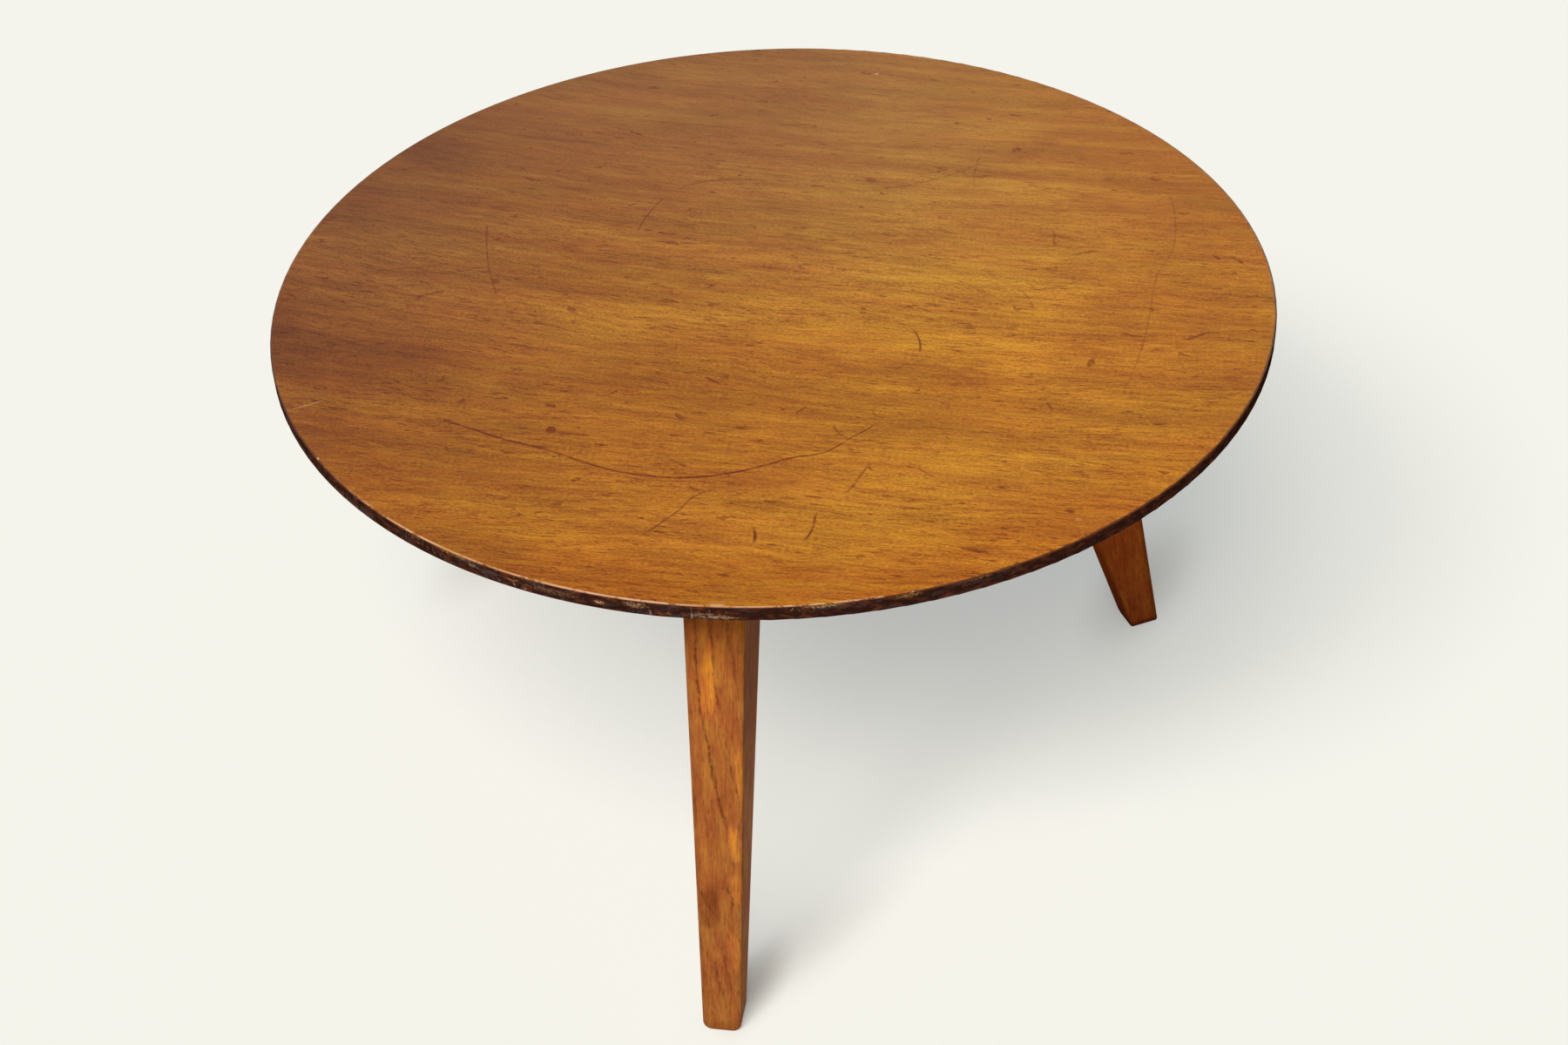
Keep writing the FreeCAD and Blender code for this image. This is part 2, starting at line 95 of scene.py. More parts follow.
class Tree:
    """A node tree, with short names for the nodes that the looks need.

    A span is a pair of values that a step runs between. A ramp is (start, end, low, high).
    """

    def __init__(self, tree):
        self.tree = tree
        self.tree.nodes.clear()

    def put(self, kind, inputs=(), **settings):
        """A new node. An input is linked where it is a socket, and set where it is a value."""
        node = self.tree.nodes.new(kind)
        for key, value in settings.items():
            setattr(node, key, value)
        for key, value in dict(inputs).items():
            if isinstance(value, bpy.types.NodeSocket):
                self.tree.links.new(value, node.inputs[key])
            else:
                node.inputs[key].default_value = value
        return node

    def math(self, operation, *values):
        return self.put("ShaderNodeMath", dict(enumerate(values)), operation=operation).outputs[0]

    def vector(self, operation, *values):
        node = self.put("ShaderNodeVectorMath", dict(enumerate(values)), operation=operation)
        return node.outputs["Value" if operation in ("LENGTH", "DOT_PRODUCT") else "Vector"]

    def split(self, vector):
        return self.put("ShaderNodeSeparateXYZ", {0: vector}).outputs[:]

    def join(self, x, y, z=0.0):
        return self.put("ShaderNodeCombineXYZ", {0: x, 1: y, 2: z}).outputs[0]

    def fade(self, value, start, end, low=0.0, high=1.0):
        """A smooth step from low at start to high at end, which needs no clamp to stay between them."""
        inputs = {0: value, 1: start, 2: end, 3: low, 4: high}
        return self.put("ShaderNodeMapRange", inputs, interpolation_type="SMOOTHSTEP", clamp=False).outputs[0]

    def line(self, value, start, end, low=0.0, high=1.0, held=True):
        """A straight ramp from low at start to high at end, held beyond them if asked to."""
        inputs = {0: value, 1: start, 2: end, 3: low, 4: high}
        return self.put("ShaderNodeMapRange", inputs, clamp=held).outputs[0]

    def fall(self, value, start, end):
        """1 before start and 0 after end."""
        return self.fade(value, start, end, 1.0, 0.0)

    def product(self, first, *others):
        for other in others:
            first = self.math("MULTIPLY", first, other)
        return first

    def band(self, value, rise, fall):
        """1 between two spans: it rises over the first and falls over the second."""
        return self.product(self.fade(value, *rise), self.fall(value, *fall))

    def noise(self, vector, noise, seed=0.0):
        """Stretched noise from 0 to 1. The seed is added to the noise's own."""
        scales = (noise.along, noise.across, noise.across if noise.depth is None else noise.depth)
        scaled = self.vector("MULTIPLY_ADD", vector, scales, (noise.seed + seed,) * 3)
        inputs = {"Vector": scaled, "Scale": 1.0, "Detail": noise.detail, "Roughness": noise.roughness}
        return self.put("ShaderNodeTexNoise", inputs).outputs["Fac"]

    def shown(self, vector, noise, seed=0.0):
        """A mask that is full where the noise is high."""
        return self.fade(self.noise(vector, noise, seed), *noise.shows)

    def centred(self, vector, noise, seed=0.0):
        """The noise less its middle, so that it runs around 0."""
        return self.math("SUBTRACT", self.noise(vector, noise, seed), 0.5)

    def vary(self, value, noise, amount):
        """value made up to amount larger or smaller where the noise runs above or below its middle."""
        return self.product(value, self.math("MULTIPLY_ADD", noise, 2.0 * amount, 1.0 - amount))

    def darken(self, value, mask, amount):
        """value less this share of it where the mask is full. A negative amount lightens."""
        return self.product(value, self.math("MULTIPLY_ADD", mask, -amount, 1.0))

    def spot(self, plane, x, y, half_length, half_width, degrees, core):
        """1 inside the core of a turned oval on the plane, falling to 0 at its outline."""
        inputs = {"Vector": plane, "Location": (x, y, 0.0), "Rotation": (0.0, 0.0, math.radians(degrees)),
                  "Scale": (half_length, half_width, 1.0)}
        local = self.put("ShaderNodeMapping", inputs, vector_type="TEXTURE").outputs[0]
        return self.fall(self.vector("LENGTH", local), core, 1.0)

    def mix(self, factor, first, second, blend="MIX"):
        """The first colour where the factor is 0, and the second where it is 1."""
        node = self.put("ShaderNodeMix", data_type="RGBA", blend_type=blend)
        for socket, value in ((node.inputs[0], factor), (node.inputs[6], first), (node.inputs[7], second)):
            if isinstance(value, bpy.types.NodeSocket):
                self.tree.links.new(value, socket)
            elif isinstance(value, (int, float)):
                socket.default_value = value
            else:
                socket.default_value = (*value, 1.0)
        return node.outputs[2]

    def tint(self, factor, colour, by):
        """The colour times another, as far as the factor says."""
        return self.mix(factor, colour, by, "MULTIPLY")

    def ramp(self, factor, stops):
        node = self.put("ShaderNodeValToRGB", {0: factor})
        elements = node.color_ramp.elements
        while len(elements) < len(stops):
            elements.new(0.5)
        for element, (place, colour) in zip(elements, stops):
            element.position = place
            element.color = (*colour, 1.0)
        return node.outputs[0]


class Paint(Tree):
    """A material, with the place on the object at hand."""

    def __init__(self, name):
        self.material = bpy.data.materials.new(name)
        self.material.use_nodes = True
        super().__init__(self.material.node_tree)
        self.place = self.put("ShaderNodeTexCoord").outputs["Object"]

    def wander(self, scale, detail, reach):
        """A shift of up to reach either way, which changes from place to place."""
        inputs = {"Vector": self.place, "Scale": scale, "Detail": detail}
        swirl = self.put("ShaderNodeTexNoise", inputs).outputs["Color"]
        return self.vector("MULTIPLY_ADD", swirl, tuple(2.0 * r for r in reach), tuple(-r for r in reach))

    def turned(self, azimuth):
        """The place with X turned outwards along the azimuth, Y to its left and Z up."""
        inputs = {"Vector": self.place, "Angle": -math.radians(azimuth)}
        return self.put("ShaderNodeVectorRotate", inputs, rotation_type="Z_AXIS").outputs[0]

    def finish(self, colour, roughness, height, relief, **constants):
        """The material, with relief = (strength, distance) of the bumps that the height makes."""
        strength, distance = relief
        bumps = self.put("ShaderNodeBump", {"Height": height, "Strength": strength, "Distance": distance})
        inputs = {"Base Color": colour, "Roughness": roughness, "Normal": bumps.outputs[0]}
        inputs.update((key.replace("_", " "), value) for key, value in constants.items())
        shader = self.put("ShaderNodeBsdfPrincipled", inputs)
        self.put("ShaderNodeOutputMaterial", {"Surface": shader.outputs[0]})
        return self.material


# The colours of the table top
TOP_STOPS = [(0.06, (0.060, 0.012, 0.003)), (0.15, (0.150, 0.036, 0.006)), (0.25, (0.250, 0.071, 0.010)),
             (0.36, (0.360, 0.121, 0.015)), (0.48, (0.480, 0.187, 0.021)), (0.68, (0.680, 0.295, 0.030))]
MARK_RED = (0.130, 0.014, 0.002)
WORN_TAN = (0.520, 0.230, 0.080)
CHIP_PALE = (0.600, 0.340, 0.170)
ARRIS_HIGHLIGHT_PINK = (0.420, 0.190, 0.130)
WORN_GOLD = (0.400, 0.220, 0.060)
STAIN_DARK = (0.026, 0.009, 0.006)
STAIN_RED = (0.115, 0.032, 0.013)
STAIN_GREY = (0.050, 0.040, 0.042)
STAIN_PALE = (0.250, 0.200, 0.170)
RIM_TINT = (0.95, 0.80, 0.64)
# The tint of a painted sheen, a reflection's bluish grey veil at the top's left and back
PAINTED_SHEEN_TINT = (1.00, 1.27, 2.30)
WARM_TINT = (1.00, 0.955, 0.80)
YELLOW_TINT = (1.00, 1.10, 1.00)
RUDDY_TINT = (1.00, 0.94, 1.00)

# The fibres of the top dip to the right over this span of y, by a slope and a curve over x
GRAIN_DIP_SPAN = (-0.36, -0.02)
GRAIN_SLOPE = 0.09
GRAIN_CURVE = 0.135
GRAIN_WOBBLE = Noise(6.0, 11.0, detail=3.0, amount=0.026)
GRAIN_RIPPLE = Noise(42.0, 70.0, seed=61.0, detail=3.0, amount=0.0040)

# How light the top is: ramps over x and y, then noises from broad clouds down to grit
TOP_LEVEL = 0.46
TONE_LEFT = (-0.40, 0.14, 0.56, 1.0)
TONE_RIGHT = (0.24, 0.40, TOP_LEVEL, TOP_LEVEL * 0.94)
TONE_BACK = (-0.28, 0.38, 1.0, 0.77)
CALM_BACK = (0.0, 0.25, 1.0, 0.55)
ZONE_WANDER_SCALE = 9.0
ZONE_WANDER_DETAIL = 3.0
ZONE_WANDER_REACH = (0.06, 0.06, 0.06)
CLOUDS = Noise(10.0, 22.0, seed=3.1, detail=4.0, roughness=0.55, amount=0.26)
BANDS = Noise(2.4, 60.0, seed=1.7, detail=3.0, amount=0.30)
STREAKS = Noise(23.0, 240.0, seed=5.2, detail=3.0, roughness=0.6, amount=1.0)
FIBRES = Noise(56.0, 850.0, seed=8.3, detail=4.0, roughness=0.7, amount=1.05)
GRIT = Noise(380.0, 560.0, seed=4.4, detail=3.0, roughness=0.6, amount=1.25)
FLECKS = Noise(95.0, 600.0, seed=2.9, shows=(0.60, 0.72), amount=0.33)
CLUSTERS = Noise(10.0, 30.0, seed=9.9, detail=3.0, shows=(0.38, 0.58))
DASHES = Noise(76.0, 500.0, seed=7.7, detail=3.0, shows=(0.58, 0.67), amount=0.42)

# Its hue: ruddy or yellow wood, a painted sheen that veils the left and back, and warmth and a
# deeper rim at the front right
RUDDY_STREAKS = Noise(9.0, 150.0, seed=14.0, detail=5.0, roughness=0.65, amount=0.6)
RUDDY_PATCHES = Noise(7.0, 16.0, seed=16.0, detail=3.0, amount=0.4)
RUDDY_SPAN = (0.38, 0.60)
RAGGED = Noise(25.0, 25.0, seed=6.0, detail=4.0, shows=(0.35, 0.60))
RIM_SPAN = (0.315, 0.388)
RIM_FRONT = (0.12, -0.20)
RIM_FRONT_LEAN = 0.5
RIM_RIGHT = (-0.35, -0.05)
RIM_RAGGED = (0.3, 0.6, 0.3, 1.0)
PAINTED_SHEEN_LEFT = ((-0.05, -0.36, 0.0, 0.8), (-0.25, 0.12, 0.25, 1.0))
PAINTED_SHEEN_BACK = ((-0.12, 0.32), (0.34, 0.0, 0.10, 1.0))
WARM_LEAN = -0.5
WARM_SPAN = (0.05, -0.22)

# The marks on the top are shaken a little and patchy
MARK_SHAKE_SCALE = 260.0
MARK_SHAKE_DETAIL = 2.0
MARK_SHAKE_REACH = (0.0024, 0.0024, 0.0)
MARK_PATCHES = Noise(130.0, 130.0, seed=18.0, detail=3.0)
MARK_PATCHY = (0.34, 0.54, 0.50, 1.0)
SQUIGGLE_LINES = Noise(26.0, 110.0, seed=51.0, detail=3.0)
SQUIGGLE_KEPT = Noise(48.0, 80.0, seed=53.0, detail=1.0, shows=(0.645, 0.69))
SQUIGGLE_WIDTH = 0.034
SQUIGGLE_STRENGTH = 0.85
# A line is full over the first share of its width and gone at the second
LINE_SHARES = (0.15, 0.8)
# Its ends taper over this share of its length, and over no more than this length
TAPER_SHARE = 0.25
TAPER_LENGTH = 0.012
CURVE_MARGIN = 1e-4

# The rim is rubbed most at this azimuth, which faces the lamps; there the arris's bare line is partly a
# painted highlight. facing is 1 there and falls off around the rim
WEAR_AND_LIGHT_AZIMUTH = -104.0
ARRIS_BROKEN = Noise(95.0, 95.0, seed=12.0, detail=6.0, roughness=0.7)
ARRIS_WEAR_AND_HIGHLIGHT = (0.66, 0.97, -0.20, 0.09)
ARRIS_WEAR_AND_HIGHLIGHT_SPAN = (0.47, 0.56)
ARRIS_LEFT_SPAN = (-0.30, -0.20)
# Spans of the arris's turn in radians, from 0 on the flat top to a quarter turn on the edge
ARRIS_RAGGED = 1.2
STAIN_SPAN = (0.20, 0.62)
STAIN_SHARE = 0.92
BARE_RISE = (0.10, 0.30)
BARE_FALL = (0.55, 0.90)
# The faint pink line along the arris at the back is a painted highlight
LIT_RISE = (0.22, 0.42)
LIT_FALL = (0.60, 0.85)
LIT_BACK = (-0.06, 0.06, 0.0, 0.30)

PALE_FIBRES = (0.35, 0.60, 0.45, 1.0)
FLECK_DEPTH = -0.6
TOP_ROUGHNESS = (0.3, 0.7, 0.36, 0.48)
TOP_RELIEF = (0.2, 0.0004)
TOP_GLOSS = 0.12

# Broad lighter and darker areas: (x, y, half length, half width, turn in degrees, change)
ZONES = [
    (0.200, 0.030, 0.230, 0.190, 0.0, 0.10),
    (0.000, -0.020, 0.180, 0.110, 0.0, 0.08),
    (0.210, -0.080, 0.055, 0.220, 2.0, 0.08),
    (0.280, 0.165, 0.150, 0.026, -13.0, 0.12),
    (0.196, 0.245, 0.120, 0.020, 27.0, -0.12),
    (-0.360, -0.120, 0.180, 0.100, -4.0, -0.36),
    (-0.330, 0.150, 0.130, 0.150, 0.0, -0.20),
    (-0.050, -0.320, 0.240, 0.080, 0.0, 0.12),
    (-0.110, -0.110, 0.180, 0.090, 0.0, 0.09),
    (-0.120, -0.330, 0.200, 0.050, -20.0, 0.12),
    (0.000, -0.385, 0.200, 0.030, 0.0, -0.08),
    (-0.040, -0.140, 0.320, 0.036, -5.0, -0.12),
    (0.020, -0.062, 0.380, 0.042, -4.0, 0.10),
    (-0.060, 0.280, 0.120, 0.060, 10.0, -0.10),
    (-0.160, 0.130, 0.120, 0.120, -20.0, -0.06),
    (0.100, -0.190, 0.130, 0.045, 10.0, -0.10),
    (0.020, -0.300, 0.300, 0.060, 0.0, 0.10),
]

# Thin curved marks: (the axis they run along, width, strength, points)
SCRATCHES = [
    ("x", 0.0020, 0.95, [(-0.225, -0.207), (-0.205, -0.213), (-0.164, -0.228), (-0.131, -0.237),
                         (-0.091, -0.252), (-0.063, -0.259), (-0.033, -0.260), (-0.011, -0.257),
                         (0.010, -0.250), (0.032, -0.239), (0.052, -0.227), (0.071, -0.220),
                         (0.082, -0.210), (0.092, -0.197), (0.102, -0.186), (0.113, -0.169)]),
    ("y", 0.0019, 0.75, [(-0.044, -0.332), (-0.021, -0.299), (-0.013, -0.282), (-0.005, -0.274),
                         (0.003, -0.266)]),
    ("y", 0.0020, 0.80, [(0.071, -0.327), (0.078, -0.306), (0.078, -0.292), (0.082, -0.286)]),
    ("y", 0.0018, 0.60, [(0.090, -0.270), (0.099, -0.258), (0.104, -0.242), (0.109, -0.225)]),
    ("y", 0.0024, 0.90, [(0.039, -0.330), (0.039, -0.321), (0.037, -0.313), (0.033, -0.307)]),
    ("x", 0.0018, 0.85, [(-0.045, -0.182), (-0.040, -0.188), (-0.036, -0.190)]),
    ("x", 0.0019, 0.80, [(-0.033, -0.184), (-0.028, -0.180), (-0.023, -0.183)]),
    ("x", 0.0022, 0.90, [(-0.032, -0.133), (-0.022, -0.138), (-0.016, -0.143)]),
    ("y", 0.0022, 0.80, [(0.045, -0.174), (0.049, -0.168), (0.053, -0.162)]),
    ("y", 0.0018, 0.70, [(0.107, -0.171), (0.104, -0.167), (0.102, -0.163)]),
    ("y", 0.0018, 0.65, [(0.087, -0.199), (0.081, -0.194), (0.075, -0.183)]),
    ("y", 0.0016, 0.55, [(0.067, -0.192), (0.070, -0.188), (0.074, -0.184)]),
    ("y", 0.0017, 0.85, [(0.129, -0.087), (0.128, -0.073), (0.124, -0.060), (0.119, -0.051)]),
    ("x", 0.0016, 0.60, [(0.102, -0.042), (0.109, -0.045), (0.115, -0.051)]),
    ("x", 0.0019, 0.70, [(0.132, -0.228), (0.146, -0.232), (0.153, -0.237), (0.159, -0.240)]),
    ("y", 0.0015, 0.50, [(0.112, -0.110), (0.117, -0.104), (0.122, -0.099)]),
    ("x", 0.0026, 0.70, [(-0.130, -0.218), (-0.115, -0.216), (-0.100, -0.218)]),
    ("y", 0.0018, 0.60, [(-0.215, -0.044), (-0.237, 0.010), (-0.253, 0.071)]),
    ("y", 0.0018, 0.60, [(-0.124, 0.062), (-0.120, 0.094), (-0.109, 0.127)]),
    ("x", 0.0022, 0.50, [(-0.109, 0.127), (-0.080, 0.152), (-0.030, 0.160)]),
    ("y", 0.0015, 0.35, [(0.286, -0.120), (0.300, -0.040), (0.305, 0.040), (0.318, 0.100), (0.309, 0.173)]),
    ("x", 0.0016, 0.40, [(0.060, 0.150), (0.110, 0.172), (0.160, 0.215)]),
    ("x", 0.0018, 0.45, [(0.196, 0.010), (0.222, 0.016), (0.250, 0.034)]),
    ("y", 0.0016, 0.40, [(0.212, -0.020), (0.206, 0.000), (0.190, 0.018)]),
    ("x", 0.0018, 0.50, [(-0.320, -0.010), (-0.290, -0.004), (-0.262, 0.008)]),
    ("x", 0.0018, 0.50, [(-0.276, -0.014), (-0.250, -0.004), (-0.222, 0.010)]),
    ("y", 0.0016, 0.35, [(0.150, 0.160), (0.146, 0.190), (0.152, 0.222)]),
    ("x", 0.0016, 0.35, [(-0.160, 0.070), (-0.120, 0.086), (-0.088, 0.104)]),
]

# Short dark marks: (x, y, half length, half width, turn in degrees, strength)
DINGS = [
    (-0.157, 0.227, 0.0080, 0.0022, -26.0, 0.75), (-0.230, 0.141, 0.0090, 0.0020, -13.0, 0.80),
    (-0.019, 0.255, 0.0160, 0.0016, 4.0, 0.60), (-0.093, 0.053, 0.0110, 0.0026, -11.0, 0.65),
    (0.056, 0.051, 0.0080, 0.0020, 0.0, 0.55), (-0.153, -0.053, 0.0060, 0.0040, -37.0, 0.60),
    (0.060, 0.168, 0.0060, 0.0045, -16.0, 0.50), (-0.133, -0.213, 0.0060, 0.0042, -50.0, 0.75),
    (0.352, 0.074, 0.0050, 0.0030, -53.0, 0.80), (0.370, 0.070, 0.0110, 0.0018, -47.0, 0.75),
    (0.260, -0.084, 0.0070, 0.0034, 72.0, 0.75), (0.341, -0.039, 0.0150, 0.0015, 34.0, 0.75),
    (-0.040, -0.185, 0.0075, 0.0018, -38.0, 0.60), (-0.272, -0.042, 0.0160, 0.0018, 30.0, 0.60),
    (-0.224, -0.018, 0.0065, 0.0034, -37.0, 0.60), (0.245, 0.070, 0.0150, 0.0017, 24.0, 0.60),
    (0.330, -0.066, 0.0070, 0.0016, -25.0, 0.65), (-0.199, -0.059, 0.0050, 0.0020, 41.0, 0.55),
    (0.233, -0.144, 0.0060, 0.0022, -53.0, 0.60), (0.013, -0.303, 0.0060, 0.0022, 10.0, 0.50),
    (-0.348, 0.147, 0.0050, 0.0020, -7.0, 0.60), (0.193, -0.319, 0.0150, 0.0022, -9.0, 0.65),
    (-0.079, -0.018, 0.0045, 0.0020, -70.0, 0.50), (0.220, 0.091, 0.0150, 0.0015, -82.0, 0.45),
]

# Small pale marks, the same way
PALE_MARKS = [
    (-0.325, -0.201, 0.0150, 0.0009, 34.0, 0.60), (0.041, 0.354, 0.0022, 0.0018, 0.0, 0.95),
    (0.262, -0.277, 0.0026, 0.0026, 10.0, 0.30), (0.025, -0.3965, 0.0065, 0.0016, 4.0, 0.85),
    (-0.297, -0.2655, 0.0020, 0.0012, -40.0, 0.80),
]


def grain_field(p):
    """The place in grain coordinates: X runs along the fibres, which dip and straighten over the top."""
    x, y, z = p.split(p.place)
    dip = p.fade(y, *GRAIN_DIP_SPAN)
    slope = p.product(x, GRAIN_SLOPE)
    slope = p.math("SUBTRACT", slope, p.product(p.product(x, x), GRAIN_CURVE))
    wobble = p.product(p.centred(p.place, GRAIN_WOBBLE), GRAIN_WOBBLE.amount)
    ripple = p.product(p.centred(p.place, GRAIN_RIPPLE), GRAIN_RIPPLE.amount)
    across = p.math("ADD", y, p.product(dip, slope))
    across = p.math("ADD", across, p.math("ADD", wobble, ripple))
    return p.join(x, across, z)


def curve_mask(p, along, across, width, strength, points):
    """1 on a thin curved line through the points, and 0 off it. Points are (along, across)."""
    ordered = sorted(points)
    start, end = ordered[0][0], ordered[-1][0]
    low = min(point[1] for point in ordered) - CURVE_MARGIN
    high = max(point[1] for point in ordered) + CURVE_MARGIN
    shares = [((q[0] - start) / (end - start), (q[1] - low) / (high - low)) for q in ordered]
    curve = p.put("ShaderNodeFloatCurve", {"Value": p.line(along, start, end, held=False)})
    line = curve.mapping.curves[0]
    for share in shares[1:-1]:
        line.points.new(share[0], 0.5)
    for point, share in zip(line.points, shares):
        point.location = share
    curve.mapping.update()
    middle = p.line(curve.outputs[0], 0.0, 1.0, low, high, held=False)
    distance = p.math("ABSOLUTE", p.math("SUBTRACT", across, middle))
    near = p.fall(distance, *(width * share for share in LINE_SHARES))
    taper = min((end - start) * TAPER_SHARE, TAPER_LENGTH)
    ends = p.band(along, (start, start + taper), (end - taper, end))
    return p.product(near, ends, strength)


def largest(p, masks):
    """The largest of the masks, which a generator gives one by one."""
    found = next(masks)
    for mask in masks:
        found = p.math("MAXIMUM", found, mask)
    return found


def spots(p, plane, rows):
    """A mask for each row of (x, y, half length, half width, turn in degrees, strength)."""
    for row in rows:
        yield p.product(p.spot(plane, *row[:5], core=MARK_CORE), row[5])


def squiggles(p):
    """Short thin curved marks, thinly strewn."""
    lines = p.math("ABSOLUTE", p.centred(p.place, SQUIGGLE_LINES))
    kept = p.shown(p.place, SQUIGGLE_KEPT)
    return p.product(p.fall(lines, 0.0, SQUIGGLE_WIDTH), kept)


def dark_marks(p, x, y, shaken):
    """Every dark mark of the top, one mask after another."""
    for axis, width, strength, points in SCRATCHES:
        if axis == "x":
            yield curve_mask(p, x, y, width, strength, points)
        else:
            yield curve_mask(p, y, x, width, strength, [point[::-1] for point in points])
    yield from spots(p, shaken, DINGS)
    yield p.product(squiggles(p), SQUIGGLE_STRENGTH)


def top_tone(p, x, y, grain, calm):
    """How light the top is, from broad areas down to single fibres, with how ruddy it is and its grain."""
    tone = p.product(p.line(x, *TONE_LEFT), p.line(x, *TONE_RIGHT))
    tone = p.product(tone, p.line(y, *TONE_BACK))
    drift = p.wander(ZONE_WANDER_SCALE, ZONE_WANDER_DETAIL, ZONE_WANDER_REACH)
    plane = p.vector("MULTIPLY", p.vector("ADD", p.place, drift), (1.0, 1.0, 0.0))
    for zone in ZONES:
        tone = p.darken(tone, p.spot(plane, *zone[:5], core=ZONE_CORE), -zone[5])
    clouds = p.noise(grain, CLOUDS)
    bands = p.noise(grain, BANDS)
    streaks = p.noise(grain, STREAKS)
    fibres = p.noise(grain, FIBRES)
    grit = p.noise(grain, GRIT)
    flecks = p.shown(grain, FLECKS)
    clusters = p.shown(grain, CLUSTERS)
    dashes = p.shown(grain, DASHES)
    tone = p.vary(tone, clouds, CLOUDS.amount)
    tone = p.vary(tone, bands, BANDS.amount)
    fine = p.product(grit, GRIT.amount)
    fine = p.math("MULTIPLY_ADD", streaks, STREAKS.amount, fine)
    fine = p.math("MULTIPLY_ADD", fibres, FIBRES.amount, fine)
    fine = p.math("SUBTRACT", fine, 0.5 * (FIBRES.amount + STREAKS.amount + GRIT.amount))
    tone = p.product(tone, p.math("MULTIPLY_ADD", fine, calm, 1.0))
    tone = p.darken(tone, p.product(flecks, calm), FLECKS.amount)
    tone = p.darken(tone, p.product(dashes, clusters, calm), DASHES.amount)
    ruddy_streaks = p.noise(grain, RUDDY_STREAKS)
    ruddy = p.product(p.noise(grain, RUDDY_PATCHES), RUDDY_PATCHES.amount)
    ruddy = p.math("MULTIPLY_ADD", ruddy_streaks, RUDDY_STREAKS.amount, ruddy)
    return tone, ruddy, fibres, flecks


def top_tints(p, colour, x, y, radius, ragged):
    """The wood, veiled at the left and back by a painted sheen, and warm with a deeper rim at the front
    right.
    """
    rim = p.fade(radius, *RIM_SPAN)
    rim = p.product(rim, p.line(p.math("MULTIPLY_ADD", x, RIM_FRONT_LEAN, y), *RIM_FRONT))
    rim = p.product(rim, p.line(x, *RIM_RIGHT))
    colour = p.tint(p.product(rim, p.line(ragged, *RIM_RAGGED)), colour, RIM_TINT)
    # A painted sheen: the bluish grey veil of a reflection, painted at the left and back
    sheen_veil_left = p.product(p.fade(x, *PAINTED_SHEEN_LEFT[0]), p.fade(y, *PAINTED_SHEEN_LEFT[1]))
    sheen_veil_back = p.product(p.fade(y, *PAINTED_SHEEN_BACK[0]), p.fade(x, *PAINTED_SHEEN_BACK[1]))
    colour = p.tint(p.math("MAXIMUM", sheen_veil_left, sheen_veil_back), colour, PAINTED_SHEEN_TINT)
    return p.tint(p.fade(p.math("MULTIPLY_ADD", x, WARM_LEAN, y), *WARM_SPAN), colour, WARM_TINT)


def top_marks(p, colour, x, y, flat):
    """The dark scratches, dings and squiggles."""
    tremble = p.wander(MARK_SHAKE_SCALE, MARK_SHAKE_DETAIL, MARK_SHAKE_REACH)
    marks = largest(p, dark_marks(p, x, y, p.vector("ADD", flat, tremble)))
    patchy = p.noise(p.place, MARK_PATCHES)
    return p.mix(p.product(marks, p.line(patchy, *MARK_PATCHY)), colour, MARK_RED)


def worn_and_lit_side(p, flat):
    """1 towards the side of the rim that is rubbed most and faces the lamps, and less away from it."""
    azimuth = math.radians(WEAR_AND_LIGHT_AZIMUTH)
    toward = p.vector("DOT_PRODUCT", flat, (math.cos(azimuth), math.sin(azimuth), 0.0))
    return p.math("DIVIDE", toward, p.vector("LENGTH", flat))


def top_arris(p, colour, x, y, z, flat, radius, ragged):
    """The rounded upper arris: stained dark, bare where it is rubbed and lit, which is partly wear and partly
    a painted highlight, and with a faint painted highlight line at the back.
    """
    outwards = p.math("SUBTRACT", radius, TOP_RADIUS - ARRIS_RADIUS)
    turn = p.math("ARCTAN2", outwards, p.math("SUBTRACT", z, TOP_HEIGHT - ARRIS_RADIUS))
    facing = worn_and_lit_side(p, flat)
    broken = p.noise(p.place, ARRIS_BROKEN)
    bare = p.math("ADD", p.line(facing, *ARRIS_WEAR_AND_HIGHLIGHT), broken)
    ragged_turn = p.math("MULTIPLY_ADD", p.math("SUBTRACT", broken, 0.5), ARRIS_RAGGED, turn)
    dark_arris = p.product(p.fade(ragged_turn, *STAIN_SPAN), STAIN_SHARE)
    colour = p.mix(dark_arris, colour, p.mix(broken, STAIN_DARK, STAIN_RED))
    # The bare line on the arris towards the lamps is partly wear and partly a painted highlight
    worn_and_highlit_arris = p.band(turn, BARE_RISE, BARE_FALL)
    rubbed = p.product(p.fade(bare, *ARRIS_WEAR_AND_HIGHLIGHT_SPAN), p.fade(x, *ARRIS_LEFT_SPAN))
    worn_and_highlit_arris = p.product(worn_and_highlit_arris, rubbed)
    colour = p.mix(worn_and_highlit_arris, colour, p.mix(p.fade(ragged, *RAGGED.shows), WORN_TAN, CHIP_PALE))
    # A painted highlight along the arris at the back
    lit_arris = p.band(turn, LIT_RISE, LIT_FALL)
    return p.mix(p.product(lit_arris, p.fade(y, *LIT_BACK)), colour, ARRIS_HIGHLIGHT_PINK)


